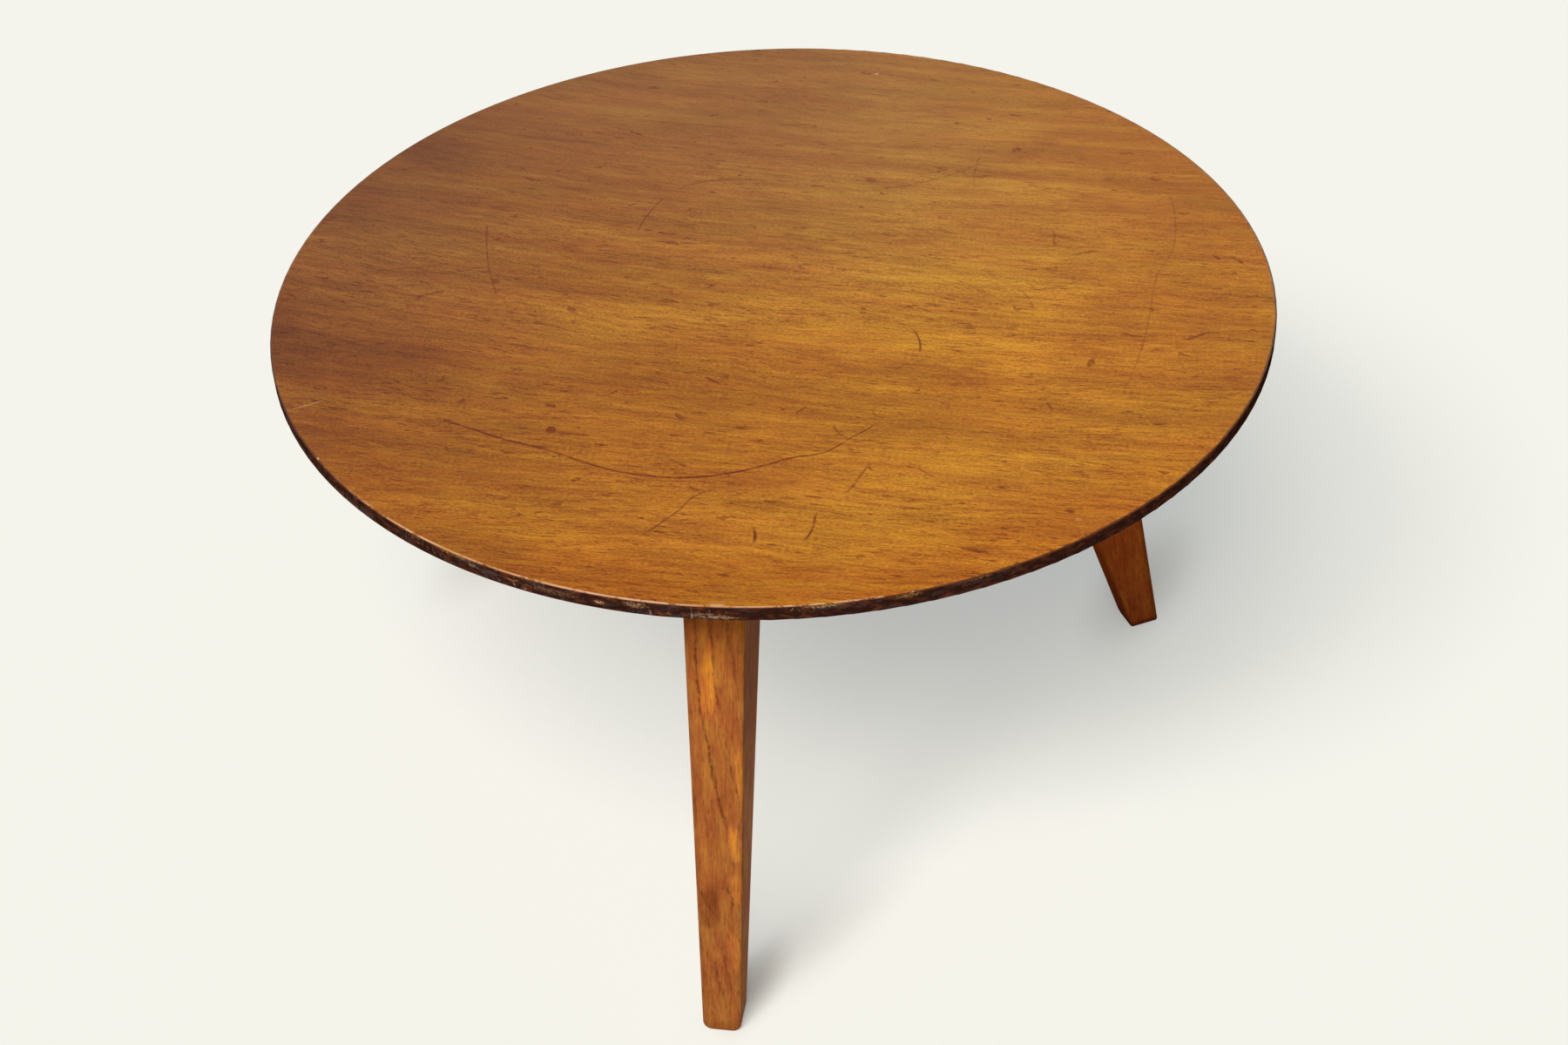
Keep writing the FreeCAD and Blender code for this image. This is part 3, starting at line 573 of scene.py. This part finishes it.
def top_wood():
    """The face veneer: amber wood with its marks and a painted sheen at the left and back, and a stained and
    rubbed arris with painted highlights.
    """
    p = Paint("top_wood")
    x, y, z = p.split(p.place)
    flat = p.join(x, y)
    calm = p.line(y, *CALM_BACK)
    tone, ruddy, fibres, flecks = top_tone(p, x, y, grain_field(p), calm)
    colour = p.ramp(tone, TOP_STOPS)
    ruddy = p.fade(ruddy, *RUDDY_SPAN)
    colour = p.mix(ruddy, p.tint(1.0, colour, YELLOW_TINT), p.tint(1.0, colour, RUDDY_TINT))
    radius = p.vector("LENGTH", flat)
    ragged = p.noise(p.place, RAGGED)
    colour = top_tints(p, colour, x, y, radius, ragged)
    colour = top_marks(p, colour, x, y, flat)
    colour = top_arris(p, colour, x, y, z, flat, radius, ragged)
    pale = largest(p, spots(p, flat, PALE_MARKS))
    colour = p.mix(p.product(pale, p.line(fibres, *PALE_FIBRES)), colour, CHIP_PALE)
    height = p.math("MULTIPLY_ADD", flecks, FLECK_DEPTH, fibres)
    return p.finish(colour, p.line(fibres, *TOP_ROUGHNESS), height, TOP_RELIEF, Specular_IOR_Level=TOP_GLOSS)


# The edge of the plies under the face veneer
EDGE_MOTTLE = Noise(110.0, 110.0, depth=260.0, detail=5.0, roughness=0.65, shows=(0.44, 0.72))
EDGE_GREYS = Noise(50.0, 50.0, depth=200.0, seed=15.0, detail=4.0, roughness=0.6,
                   shows=(0.52, 0.68), amount=0.7)
EDGE_WORN = Noise(14.0, 40.0, seed=27.0, detail=3.0, shows=(0.50, 0.66))
EDGE_GRIT = Noise(300.0, 300.0, depth=500.0, seed=4.0, detail=4.0, roughness=0.65,
                  shows=(0.56, 0.66), amount=0.55)
EDGE_DUST = Noise(560.0, 560.0, depth=800.0, seed=33.0, detail=4.0, roughness=0.7)
EDGE_SCRAPES = Noise(420.0, 70.0, seed=29.0, shows=(0.58, 0.70), amount=0.5)
EDGE_SECTOR = (0.62, 0.80, 0.20, 1.0)
EDGE_RED = (0.2, 1.0, 0.85, 1.0)
# Where the edge is scraped more, on the front: azimuth, then half length, height and half height
SCRAPED_AZIMUTH = -90.0
SCRAPED_LENGTH = 0.060
SCRAPED_HEIGHT = 0.4685
SCRAPED_HALF_HEIGHT = 0.0070
SCRAPED_SHARE = 0.55
CHIP_RAGGED = 0.12
CHIP_SPAN = (0.55, 0.66)
EDGE_ROUGHNESS = (0.3, 0.7, 0.35, 0.6)
EDGE_RELIEF = (0.4, 0.0006)

# Bare patches on the edge: (azimuth, half length, height, half height, strength, colour)
EDGE_CHIPS = [
    (-98.2, 0.0060, 0.4700, 0.0026, 0.65, CHIP_PALE), (-106.5, 0.0030, 0.4665, 0.0018, 0.60, CHIP_PALE),
    (-87.5, 0.0220, 0.4680, 0.0040, 0.30, CHIP_PALE), (-76.0, 0.0200, 0.4742, 0.0022, 0.75, WORN_GOLD),
    (-67.5, 0.0160, 0.4738, 0.0024, 0.60, WORN_GOLD), (-60.0, 0.0140, 0.4744, 0.0016, 0.30, WORN_GOLD),
    (-112.5, 0.0080, 0.4716, 0.0024, 0.32, CHIP_PALE), (-94.5, 0.0140, 0.4722, 0.0040, 0.42, CHIP_PALE),
    (-86.0, 0.0200, 0.4668, 0.0022, 0.38, CHIP_PALE), (-103.0, 0.0300, 0.4706, 0.0040, 0.16, CHIP_PALE),
    (-115.0, 0.0250, 0.4745, 0.0018, 0.50, WORN_GOLD), (-122.0, 0.0200, 0.4700, 0.0030, 0.45, STAIN_GREY),
    (-110.0, 0.0180, 0.4680, 0.0026, 0.60, STAIN_GREY), (-94.0, 0.0150, 0.4670, 0.0024, 0.60, STAIN_GREY),
]


def edge_wood():
    """The stained edge of the plies, with grey, scraped and chipped places towards the rubbed side."""
    p = Paint("edge_wood")
    x, y, z = p.split(p.place)
    around = p.product(p.math("ARCTAN2", y, x), TOP_RADIUS)
    band = p.join(around, z)
    mottle = p.noise(p.place, EDGE_MOTTLE)
    greys = p.noise(p.place, EDGE_GREYS)
    worn = p.shown(band, EDGE_WORN)
    sector = p.line(worn_and_lit_side(p, p.join(x, y)), *EDGE_SECTOR)
    worn = p.product(worn, sector)
    specks = p.shown(p.place, EDGE_GRIT)
    dust = p.noise(p.place, EDGE_DUST)
    scrapes = p.shown(band, EDGE_SCRAPES)
    red = p.product(p.fade(mottle, *EDGE_MOTTLE.shows), p.line(sector, *EDGE_RED))
    colour = p.mix(red, STAIN_DARK, STAIN_RED)
    grey = p.product(p.fade(greys, *EDGE_GREYS.shows), sector, EDGE_GREYS.amount)
    colour = p.mix(grey, colour, STAIN_GREY)
    colour = p.mix(p.product(scrapes, worn, EDGE_SCRAPES.amount), colour, STAIN_PALE)
    colour = p.mix(p.product(specks, worn, EDGE_GRIT.amount), colour, WORN_TAN)
    middle = math.radians(SCRAPED_AZIMUTH) * TOP_RADIUS
    scraped = p.spot(band, middle, SCRAPED_HEIGHT, SCRAPED_LENGTH, SCRAPED_HALF_HEIGHT, 0.0, core=CHIP_CORE)
    colour = p.mix(p.product(scrapes, scraped, SCRAPED_SHARE), colour, STAIN_PALE)
    for azimuth, half_length, height, half_height, strength, bare_colour in EDGE_CHIPS:
        middle = math.radians(azimuth) * TOP_RADIUS
        chip = p.spot(band, middle, height, half_length, half_height, 0.0, core=CHIP_CORE)
        bare = p.fade(p.math("MULTIPLY_ADD", chip, CHIP_RAGGED, dust), *CHIP_SPAN)
        colour = p.mix(p.product(chip, bare, strength), colour, bare_colour)
    return p.finish(colour, p.line(mottle, *EDGE_ROUGHNESS), mottle, EDGE_RELIEF, Specular_IOR_Level=0.0)


# The underside veneer. The rim's stain creeps onto it between these distances from the origin
BACK_STAIN_START = math.hypot(0.3950, TOP_UNDERSIDE)
BACK_STAIN_END = math.hypot(0.3985, TOP_UNDERSIDE)
BACK_STOPS = [(0.15, (0.20, 0.075, 0.022)), (0.5, (0.34, 0.150, 0.055)), (0.85, (0.46, 0.230, 0.100))]
BACK_BANDS = Noise(2.0, 40.0, seed=21.0, detail=4.0)
BACK_FIBRES = Noise(26.0, 800.0, seed=23.0, roughness=0.6)
BACK_FLECKS = Noise(90.0, 700.0, seed=25.0, detail=1.0, shows=(0.62, 0.74), amount=0.6)
BACK_STAIN = Noise(110.0, 110.0, detail=5.0)
PORE_BROWN = (0.110, 0.030, 0.008)
BACK_ROUGHNESS = (0.3, 0.7, 0.5, 0.65)
BACK_RELIEF = (0.3, 0.0004)
BACK_GLOSS = 0.05


def plain_tone(p, bands, fibres):
    """A middling tone that goes up and down with the bands, and half as much with the fibres."""
    tone = p.math("MULTIPLY_ADD", p.math("SUBTRACT", bands, 0.5), 1.0, 0.5)
    return p.math("MULTIPLY_ADD", p.math("SUBTRACT", fibres, 0.5), 0.5, tone)


def back_wood():
    """The plain underside veneer."""
    p = Paint("back_wood")
    grain = grain_field(p)
    bands = p.noise(grain, BACK_BANDS)
    fibres = p.noise(grain, BACK_FIBRES)
    flecks = p.noise(grain, BACK_FLECKS)
    colour = p.ramp(plain_tone(p, bands, fibres), BACK_STOPS)
    flecks = p.product(p.fade(flecks, *BACK_FLECKS.shows), BACK_FLECKS.amount)
    colour = p.mix(flecks, colour, PORE_BROWN)
    stain = p.mix(p.noise(p.place, BACK_STAIN), STAIN_DARK, STAIN_RED)
    reach = p.fade(p.vector("LENGTH", p.place), BACK_STAIN_START, BACK_STAIN_END)
    colour = p.mix(reach, colour, stain)
    roughness = p.line(fibres, *BACK_ROUGHNESS)
    return p.finish(colour, roughness, fibres, BACK_RELIEF, Specular_IOR_Level=BACK_GLOSS)


class LegLook(NamedTuple):
    """What differs between the figured front leg and the plainer other two, whose deeper, redder tint is
    painted shade.
    """
    level: float
    patchy: float
    painted_light_over_height: tuple
    growth: float
    tint: tuple
    foot: tuple
    foot_colour: tuple
    gloss: float
    figured: bool


# The colours of the legs, rails and hub
LEG_DARK = (0.110, 0.026, 0.006)
LEG_BROWN = (0.300, 0.085, 0.012)
LEG_ORANGE = (0.460, 0.145, 0.020)
LEG_STOPS = [(0.06, (0.060, 0.014, 0.005)), (0.18, (0.180, 0.054, 0.014)), (0.32, (0.320, 0.106, 0.027)),
             (0.46, (0.460, 0.154, 0.032)), (0.60, (0.600, 0.196, 0.028)), (0.75, (0.750, 0.252, 0.026))]
FOOT_RED = (0.140, 0.020, 0.007)
LEG_RUDDY = (1.00, 0.80, 0.86)
LEG_GOLDEN = (1.00, 1.02, 0.92)
# The deeper, redder tint of the right and left legs is painted shade: they stand in the top's shadow
LEG_PAINTED_SHADE_TINT = (1.08, 0.82, 0.60)
LEG_WARM = (1.02, 1.07, 1.00)
# The grey tint of a painted sheen on the front leg's sides low down
LEG_SHEEN_TINT = (1.00, 1.05, 1.50)

LEG_LEVEL = 0.335
LEG_TONE = (0.05, 0.45, 0.92, 1.16)
# Both looks make a leg lighter high up than low down: painted light against the shade that the top casts
# there
FIGURED_LOOK = LegLook(level=LEG_LEVEL, patchy=0.62, painted_light_over_height=(0.28, 0.44, 1.0, 1.60), growth=0.10,
                       tint=LEG_WARM, foot=(0.003, 0.016, 0.35, 0.0), foot_colour=LEG_DARK,
                       gloss=0.002, figured=True)
PLAIN_LOOK = LegLook(level=LEG_LEVEL * 1.02, patchy=0.42, painted_light_over_height=(0.02, 0.30, 0.78, 1.33), growth=0.15,
                     tint=LEG_PAINTED_SHADE_TINT, foot=(0.006, 0.012, 0.75, 0.0), foot_colour=FOOT_RED,
                     gloss=0.0, figured=False)
LEG_SEED = 11.0
LEG_SEED_STEP = 7.0

# The noises of a leg's wood. A leg adds its own seed
LEG_WAVES = Noise(22.0, 50.0, seed=1.0, detail=4.0, roughness=0.6)
LEG_WARP = Noise(5.0, 18.0)
LEG_FIBRES = Noise(60.0, 700.0, seed=2.0, detail=4.0, roughness=0.7, amount=0.55)
LEG_FLECKS = Noise(90.0, 620.0, seed=4.0, shows=(0.58, 0.70), amount=0.34)
LEG_PATCHES = Noise(26.0, 90.0, seed=6.0, detail=6.0, roughness=0.7, shows=(0.60, 0.42))
LEG_JAGS = Noise(110.0, 230.0, seed=12.0, detail=4.0, roughness=0.65)
LEG_DOTS = Noise(260.0, 420.0, seed=14.0)

# The growth rings drift over the height and through the thickness, and wander with the warp and waves
RING_OVER_HEIGHT = 0.075
RING_OVER_DEPTH = 0.8
RING_WARP = 0.040
RING_WAVES = 0.012
RING_WIDTH = 0.0095
RING_RISE = (0.55, 0.93)
RING_FALL = (0.93, 0.99)

# The outer face of a leg ends over this span of depth, and its sides begin there
FACE_SPAN = (0.002, 0.006)
SIDES_LIGHTER = -0.35
LINE_WAVES = 0.006
LINE_JAGS = 0.0060
LINE_DOTTED = (0.40, 0.58, 0.40, 1.0)
LINE_DARK = 0.95
# The front leg's sides are lighter and greyer low down, a painted sheen where they reflect the floor, and
# darker high up, painted shade
SIDE_SHEEN_SPAN = (0.30, 0.16)
SIDE_SHEEN_LIGHTER = -0.38
SHADED_SPAN = (0.24, 0.36)
SHADED_DARKER = 0.38

# The ridges between the faces: a dark margin of painted shade, for their roundness, and a rubbed line
RIDGE_SHADE = (0.0, 0.006, 0.30, 0.0)
RIDGE_RUBBED = (0.0006, 0.0020)
RUBBED_WAVES = (-0.02, 0.10)
RUBBED_SHARE = 0.45
GROWTH_DEPTH = -0.3
LEG_ROUGHNESS = (0.3, 0.7, 0.34, 0.46)
LEG_RELIEF = (0.2, 0.0004)

# Dark growth lines down the front leg's outer face: (width, strength, points as (height, across))
LEG_LINES = [
    (0.0024, 0.55, [(0.460, -0.0160), (0.373, -0.0145), (0.336, -0.0135), (0.300, -0.0120), (0.269, -0.0065),
                    (0.255, -0.0045), (0.218, 0.0015), (0.191, 0.0075)]),
    (0.0024, 0.50, [(0.460, -0.0090), (0.369, -0.0035), (0.346, -0.0015), (0.325, -0.0005), (0.304, 0.0020),
                    (0.293, 0.0050)]),
    (0.0020, 0.35, [(0.460, 0.0060), (0.371, 0.0105), (0.350, 0.0125), (0.329, 0.0155), (0.310, 0.0170)]),
    (0.0024, 0.40, [(0.262, 0.0085), (0.244, 0.0115), (0.227, 0.0150), (0.200, 0.0185)]),
    (0.0020, 0.40, [(0.140, -0.0170), (0.122, -0.0090), (0.110, -0.0015)]),
    (0.0020, 0.40, [(0.142, 0.0040), (0.131, 0.0090), (0.118, 0.0125)]),
    (0.0020, 0.35, [(0.075, -0.0070), (0.048, -0.0015), (0.028, 0.0030)]),
    (0.0020, 0.30, [(0.080, 0.0010), (0.055, 0.0060), (0.034, 0.0100)]),
]

# Lighter and darker areas of the same face: (height, across, half length, half width, turn, change)
LEG_AREAS = [
    (0.320, -0.0050, 0.045, 0.0075, 4.0, 0.36), (0.234, 0.0180, 0.045, 0.0060, -3.0, 0.44),
    (0.180, 0.0135, 0.022, 0.0070, -6.0, 0.42), (0.139, 0.0145, 0.018, 0.0070, -8.0, 0.36),
    (0.078, 0.0120, 0.024, 0.0065, -6.0, 0.30), (0.118, -0.0070, 0.028, 0.0110, 0.0, -0.24),
    (0.330, 0.0150, 0.050, 0.0100, 0.0, -0.10), (0.160, -0.0120, 0.040, 0.0060, 0.0, 0.12),
]


def growth_lines(p, up, side, depth, waves, warp):
    """The dark late wood of the growth rings."""
    ring = p.math("MULTIPLY_ADD", up, RING_OVER_HEIGHT, p.math("MULTIPLY_ADD", depth, RING_OVER_DEPTH, side))
    ring = p.math("MULTIPLY_ADD", warp, RING_WARP, p.math("MULTIPLY_ADD", waves, RING_WAVES, ring))
    cycle = p.math("FRACT", p.math("DIVIDE", p.math("ADD", ring, 1.0), RING_WIDTH))
    return p.band(cycle, RING_RISE, RING_FALL)


def figured_tone(p, tone, board, up, side, depth, waves, seed):
    """The figure of the outer face, and the sides lightened and greyed low down by a painted sheen and
    darkened high up by painted shade.
    """
    front = p.fall(depth, *FACE_SPAN)
    jags = p.centred(board, LEG_JAGS, seed)
    wobble = p.math("MULTIPLY_ADD", waves, LINE_WAVES, p.math("MULTIPLY_ADD", jags, LINE_JAGS, side))
    face = p.join(up, wobble)
    for area in LEG_AREAS:
        tone = p.darken(tone, p.product(p.spot(face, *area[:5], core=AREA_CORE), front), -area[5])
    lines = largest(p, (curve_mask(p, up, wobble, *line) for line in LEG_LINES))
    dotted = p.line(p.noise(board, LEG_DOTS, seed), *LINE_DOTTED)
    tone = p.darken(tone, p.product(lines, dotted, front), LINE_DARK)
    behind = p.math("SUBTRACT", 1.0, front)
    # Painted sheen on the sides low down
    leg_sheen_low = p.product(behind, p.fade(up, *SIDE_SHEEN_SPAN))
    tone = p.darken(tone, leg_sheen_low, SIDE_SHEEN_LIGHTER)
    return p.darken(tone, p.product(behind, p.fade(up, *SHADED_SPAN)), SHADED_DARKER), leg_sheen_low


def leg_ridges(p, colour, up, side, depth, waves):
    """Painted shade beside the ridges between a leg's faces, where they round over, and a worn line along
    them.
    """
    half_width = p.line(up, 0.0, TOP_UNDERSIDE, FOOT_WIDTH / 2.0, HEAD_WIDTH / 2.0)
    inset = p.math("SUBTRACT", half_width, p.math("ABSOLUTE", side))
    ridge = p.math("MAXIMUM", inset, depth)
    # Painted shade along the ridges, for their roundness
    colour = p.mix(p.fade(ridge, *RIDGE_SHADE), colour, LEG_DARK)
    rubbed = p.product(p.fall(ridge, *RIDGE_RUBBED), p.fade(waves, *RUBBED_WAVES))
    return p.mix(p.product(rubbed, RUBBED_SHARE), colour, WORN_TAN)


def leg_wood(name, azimuth, seed, look):
    """Wood whose fibres run down a leg, with thin wavy growth lines."""
    p = Paint(name)
    out, side, up = p.split(p.turned(azimuth))
    face_reach = p.math("MULTIPLY_ADD", up, -LEG_LEAN, HEAD_REACH + LEG_LEAN * TOP_UNDERSIDE)
    depth = p.math("SUBTRACT", face_reach, out)
    board = p.join(up, side, depth)
    waves = p.centred(board, LEG_WAVES, seed)
    warp = p.centred(board, LEG_WARP, seed)
    late = growth_lines(p, up, side, depth, waves, warp)
    fibres = p.noise(board, LEG_FIBRES, seed)
    flecks = p.shown(board, LEG_FLECKS, seed)
    patches = p.noise(board, LEG_PATCHES, seed)
    start, end, low, high = LEG_TONE
    tone = p.vary(p.line(up, start, end, look.level * low, look.level * high), patches, look.patchy)
    # Lighter high up: painted light where the top's shadow falls
    tone = p.product(tone, p.line(up, *look.painted_light_over_height))
    tone = p.vary(tone, fibres, LEG_FIBRES.amount)
    tone = p.darken(tone, flecks, LEG_FLECKS.amount)
    tone = p.darken(tone, late, look.growth)
    if look.figured:
        tone, leg_sheen_low = figured_tone(p, tone, board, up, side, depth, waves, seed)
    else:
        tone = p.darken(tone, p.fade(depth, *FACE_SPAN), SIDES_LIGHTER)
    colour = p.ramp(tone, LEG_STOPS)
    golden = p.fade(patches, *LEG_PATCHES.shows)
    colour = p.mix(golden, p.tint(1.0, colour, LEG_GOLDEN), p.tint(1.0, colour, LEG_RUDDY))
    # For the right and left legs this tint is painted shade
    colour = p.tint(1.0, colour, look.tint)
    if look.figured:
        # A painted sheen greys the sides low down
        colour = p.tint(leg_sheen_low, colour, LEG_SHEEN_TINT)
    colour = leg_ridges(p, colour, up, side, depth, waves)
    colour = p.mix(p.fade(up, *look.foot), colour, look.foot_colour)
    height = p.math("MULTIPLY_ADD", late, GROWTH_DEPTH, fibres)
    return p.finish(colour, p.line(fibres, *LEG_ROUGHNESS), height, LEG_RELIEF, Specular_IOR_Level=look.gloss)


# Rails, hub, pins and screws
RAIL_BANDS = Noise(4.0, 120.0, detail=4.0)
RAIL_FIBRES = Noise(26.0, 900.0, seed=2.0, roughness=0.6)
RAIL_STOPS = [(0.15, LEG_DARK), (0.45, LEG_BROWN), (0.85, LEG_ORANGE)]
RAIL_ROUGHNESS = (0.3, 0.7, 0.42, 0.55)
RAIL_RELIEF = (0.25, 0.0004)
RAIL_GLOSS = 0.3
RAIL_SEED = 31.0
RAIL_SEED_STEP = 5.0
HUB_SEED = 47.0
PIN_GRAIN = Noise(900.0, 900.0, seed=2.0, detail=3.0)
PIN_STOPS = [(0.25, LEG_DARK), (0.6, LEG_BROWN), (0.85, LEG_ORANGE)]
PIN_ROUGHNESS = (0.3, 0.7, 0.45, 0.6)
PIN_RELIEF = (0.3, 0.0003)
STEEL_WEAR = Noise(600.0, 600.0, seed=5.0, detail=4.0)
STEEL_STOPS = [(0.3, (0.20, 0.19, 0.17)), (0.7, (0.55, 0.54, 0.50))]
STEEL_ROUGHNESS = (0.3, 0.7, 0.28, 0.5)
STEEL_RELIEF = (0.15, 0.0002)


def rail_wood(name, azimuth, seed):
    """Plain straight wood whose fibres run out from the middle."""
    p = Paint(name)
    turned = p.turned(azimuth)
    bands = p.noise(turned, RAIL_BANDS, seed)
    fibres = p.noise(turned, RAIL_FIBRES, seed)
    colour = p.ramp(plain_tone(p, bands, fibres), RAIL_STOPS)
    roughness = p.line(fibres, *RAIL_ROUGHNESS)
    return p.finish(colour, roughness, fibres, RAIL_RELIEF, Specular_IOR_Level=RAIL_GLOSS)


def pin_wood():
    """End grain of the leg pins."""
    p = Paint("pin_wood")
    grain = p.noise(p.place, PIN_GRAIN)
    colour = p.ramp(grain, PIN_STOPS)
    return p.finish(colour, p.line(grain, *PIN_ROUGHNESS), grain, PIN_RELIEF, Specular_IOR_Level=RAIL_GLOSS)


def screw_steel():
    """Dulled zinc-plated steel with faint brushing."""
    p = Paint("screw_steel")
    wear = p.noise(p.place, STEEL_WEAR)
    colour = p.ramp(wear, STEEL_STOPS)
    return p.finish(colour, p.line(wear, *STEEL_ROUGHNESS), wear, STEEL_RELIEF, Metallic=1.0)


def assign(node_name, material):
    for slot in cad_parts[node_name].material_slots:
        slot.material = material


def paint_table():
    """Every CAD node gets the material of its kind."""
    assign("face_veneer", top_wood())
    edge = edge_wood()
    for ply in range(1, PLY_COUNT + 1):
        assign(f"core_ply_{ply}", edge)
    assign("back_veneer", back_wood())
    for count, (arm, azimuth) in enumerate(LEG_AZIMUTHS.items()):
        look = FIGURED_LOOK if arm == "front" else PLAIN_LOOK
        assign(f"{arm}_leg", leg_wood(f"{arm}_leg_wood", azimuth, LEG_SEED + LEG_SEED_STEP * count, look))
        assign(f"{arm}_rail", rail_wood(f"{arm}_rail_wood", azimuth, RAIL_SEED + RAIL_SEED_STEP * count))
    assign("hub", rail_wood("hub_wood", LEG_AZIMUTHS["front"], HUB_SEED))
    assign("leg_pins", pin_wood())
    assign("top_screws", screw_steel())


def seen_directly(tree):
    """1 where a camera, mirror or glass ray looks, and 0 for light that spreads from surface to surface."""
    path = tree.put("ShaderNodeLightPath").outputs
    seen = tree.math("MAXIMUM", path["Is Camera Ray"], path["Is Glossy Ray"])
    return tree.math("MAXIMUM", seen, path["Is Transmission Ray"])


def glow_left(p):
    """The share of the floor's glow that the shades of the feet leave."""
    left = 1.0
    for arm, shades in FOOT_SHADES.items():
        azimuth = math.radians(LEG_AZIMUTHS[arm])
        foot_x, foot_y = FOOT_REACH * math.cos(azimuth), FOOT_REACH * math.sin(azimuth)
        for x, y, half_length, half_width, degrees, strength in shades:
            shade = p.spot(p.place, foot_x + x, foot_y + y, half_length, half_width, degrees, core=SHADE_CORE)
            left = p.darken(left, shade, strength)
    return left


def floor_paper():
    """Pale paper: lit by the lamps, and glowing by itself where it is seen directly."""
    p = Paint("floor_paper")
    seen = seen_directly(p)
    lit = p.put("ShaderNodeBsdfDiffuse", {"Color": p.mix(seen, FLOOR_BOUNCE, FLOOR_LIT)}).outputs[0]
    glow = p.put("ShaderNodeEmission", {"Color": (*FLOOR_GLOW_HUE, 1.0), "Strength": glow_left(p)}).outputs[0]
    mixed = p.put("ShaderNodeMixShader", {0: p.product(seen, FLOOR_GLOW), 1: lit, 2: glow}).outputs[0]
    p.put("ShaderNodeOutputMaterial", {"Surface": mixed})
    return p.material


def make_floor():
    mesh = bpy.data.meshes.new("floor")
    corners = [(-FLOOR_HALF, -FLOOR_HALF, 0), (FLOOR_HALF, -FLOOR_HALF, 0),
               (FLOOR_HALF, FLOOR_HALF, 0), (-FLOOR_HALF, FLOOR_HALF, 0)]
    mesh.from_pydata(corners, [], [(0, 1, 2, 3)])
    floor = bpy.data.objects.new("floor", mesh)
    bpy.context.scene.collection.objects.link(floor)
    mesh.materials.append(floor_paper())


def make_world():
    """A faint white sky, seen directly as the plain background."""
    world = bpy.data.worlds.new("studio")
    bpy.context.scene.world = world
    world.use_nodes = True
    tree = Tree(world.node_tree)
    sky = tree.put("ShaderNodeBackground", {"Color": (*SKY_WHITE, 1.0), "Strength": SKY_SHARE}).outputs[0]
    plain = tree.put("ShaderNodeBackground", {"Color": (*BACKGROUND, 1.0), "Strength": 1.0}).outputs[0]
    mixed = tree.put("ShaderNodeMixShader", {0: seen_directly(tree), 1: sky, 2: plain}).outputs[0]
    tree.put("ShaderNodeOutputWorld", {"Surface": mixed})


def make_lamps():
    """Soft suns, each as strong as its share of the light on the flat floor asks."""
    for count, (azimuth, elevation, spread, share) in enumerate(LAMPS):
        lamp = bpy.data.lights.new(f"soft_lamp_{count}", "SUN")
        turn, lift = math.radians(azimuth), math.radians(elevation)
        lamp.energy = share * math.pi / math.sin(lift)
        lamp.angle = math.radians(spread)
        holder = bpy.data.objects.new(f"soft_lamp_{count}", lamp)
        towards = Vector((math.cos(turn) * math.cos(lift), math.sin(turn) * math.cos(lift), math.sin(lift)))
        holder.rotation_euler = towards.to_track_quat("Z", "Y").to_euler()
        bpy.context.scene.collection.objects.link(holder)


def make_camera():
    data = bpy.data.cameras.new("camera")
    data.lens = CAMERA_LENS
    data.sensor_width = SENSOR_WIDTH
    data.sensor_fit = "HORIZONTAL"
    camera = bpy.data.objects.new("camera", data)
    bpy.context.scene.collection.objects.link(camera)
    aim = (Matrix.Rotation(math.radians(CAMERA_HEADING), 4, "Z")
           @ Matrix.Rotation(math.radians(90.0 - CAMERA_DIP), 4, "X")
           @ Matrix.Rotation(math.radians(CAMERA_TILT), 4, "Z"))
    camera.matrix_world = Matrix.Translation(CAMERA_PLACE) @ aim
    bpy.context.scene.camera = camera


paint_table()
make_floor()
make_world()
make_lamps()
make_camera()
bpy.context.scene.view_settings.view_transform = "Standard"
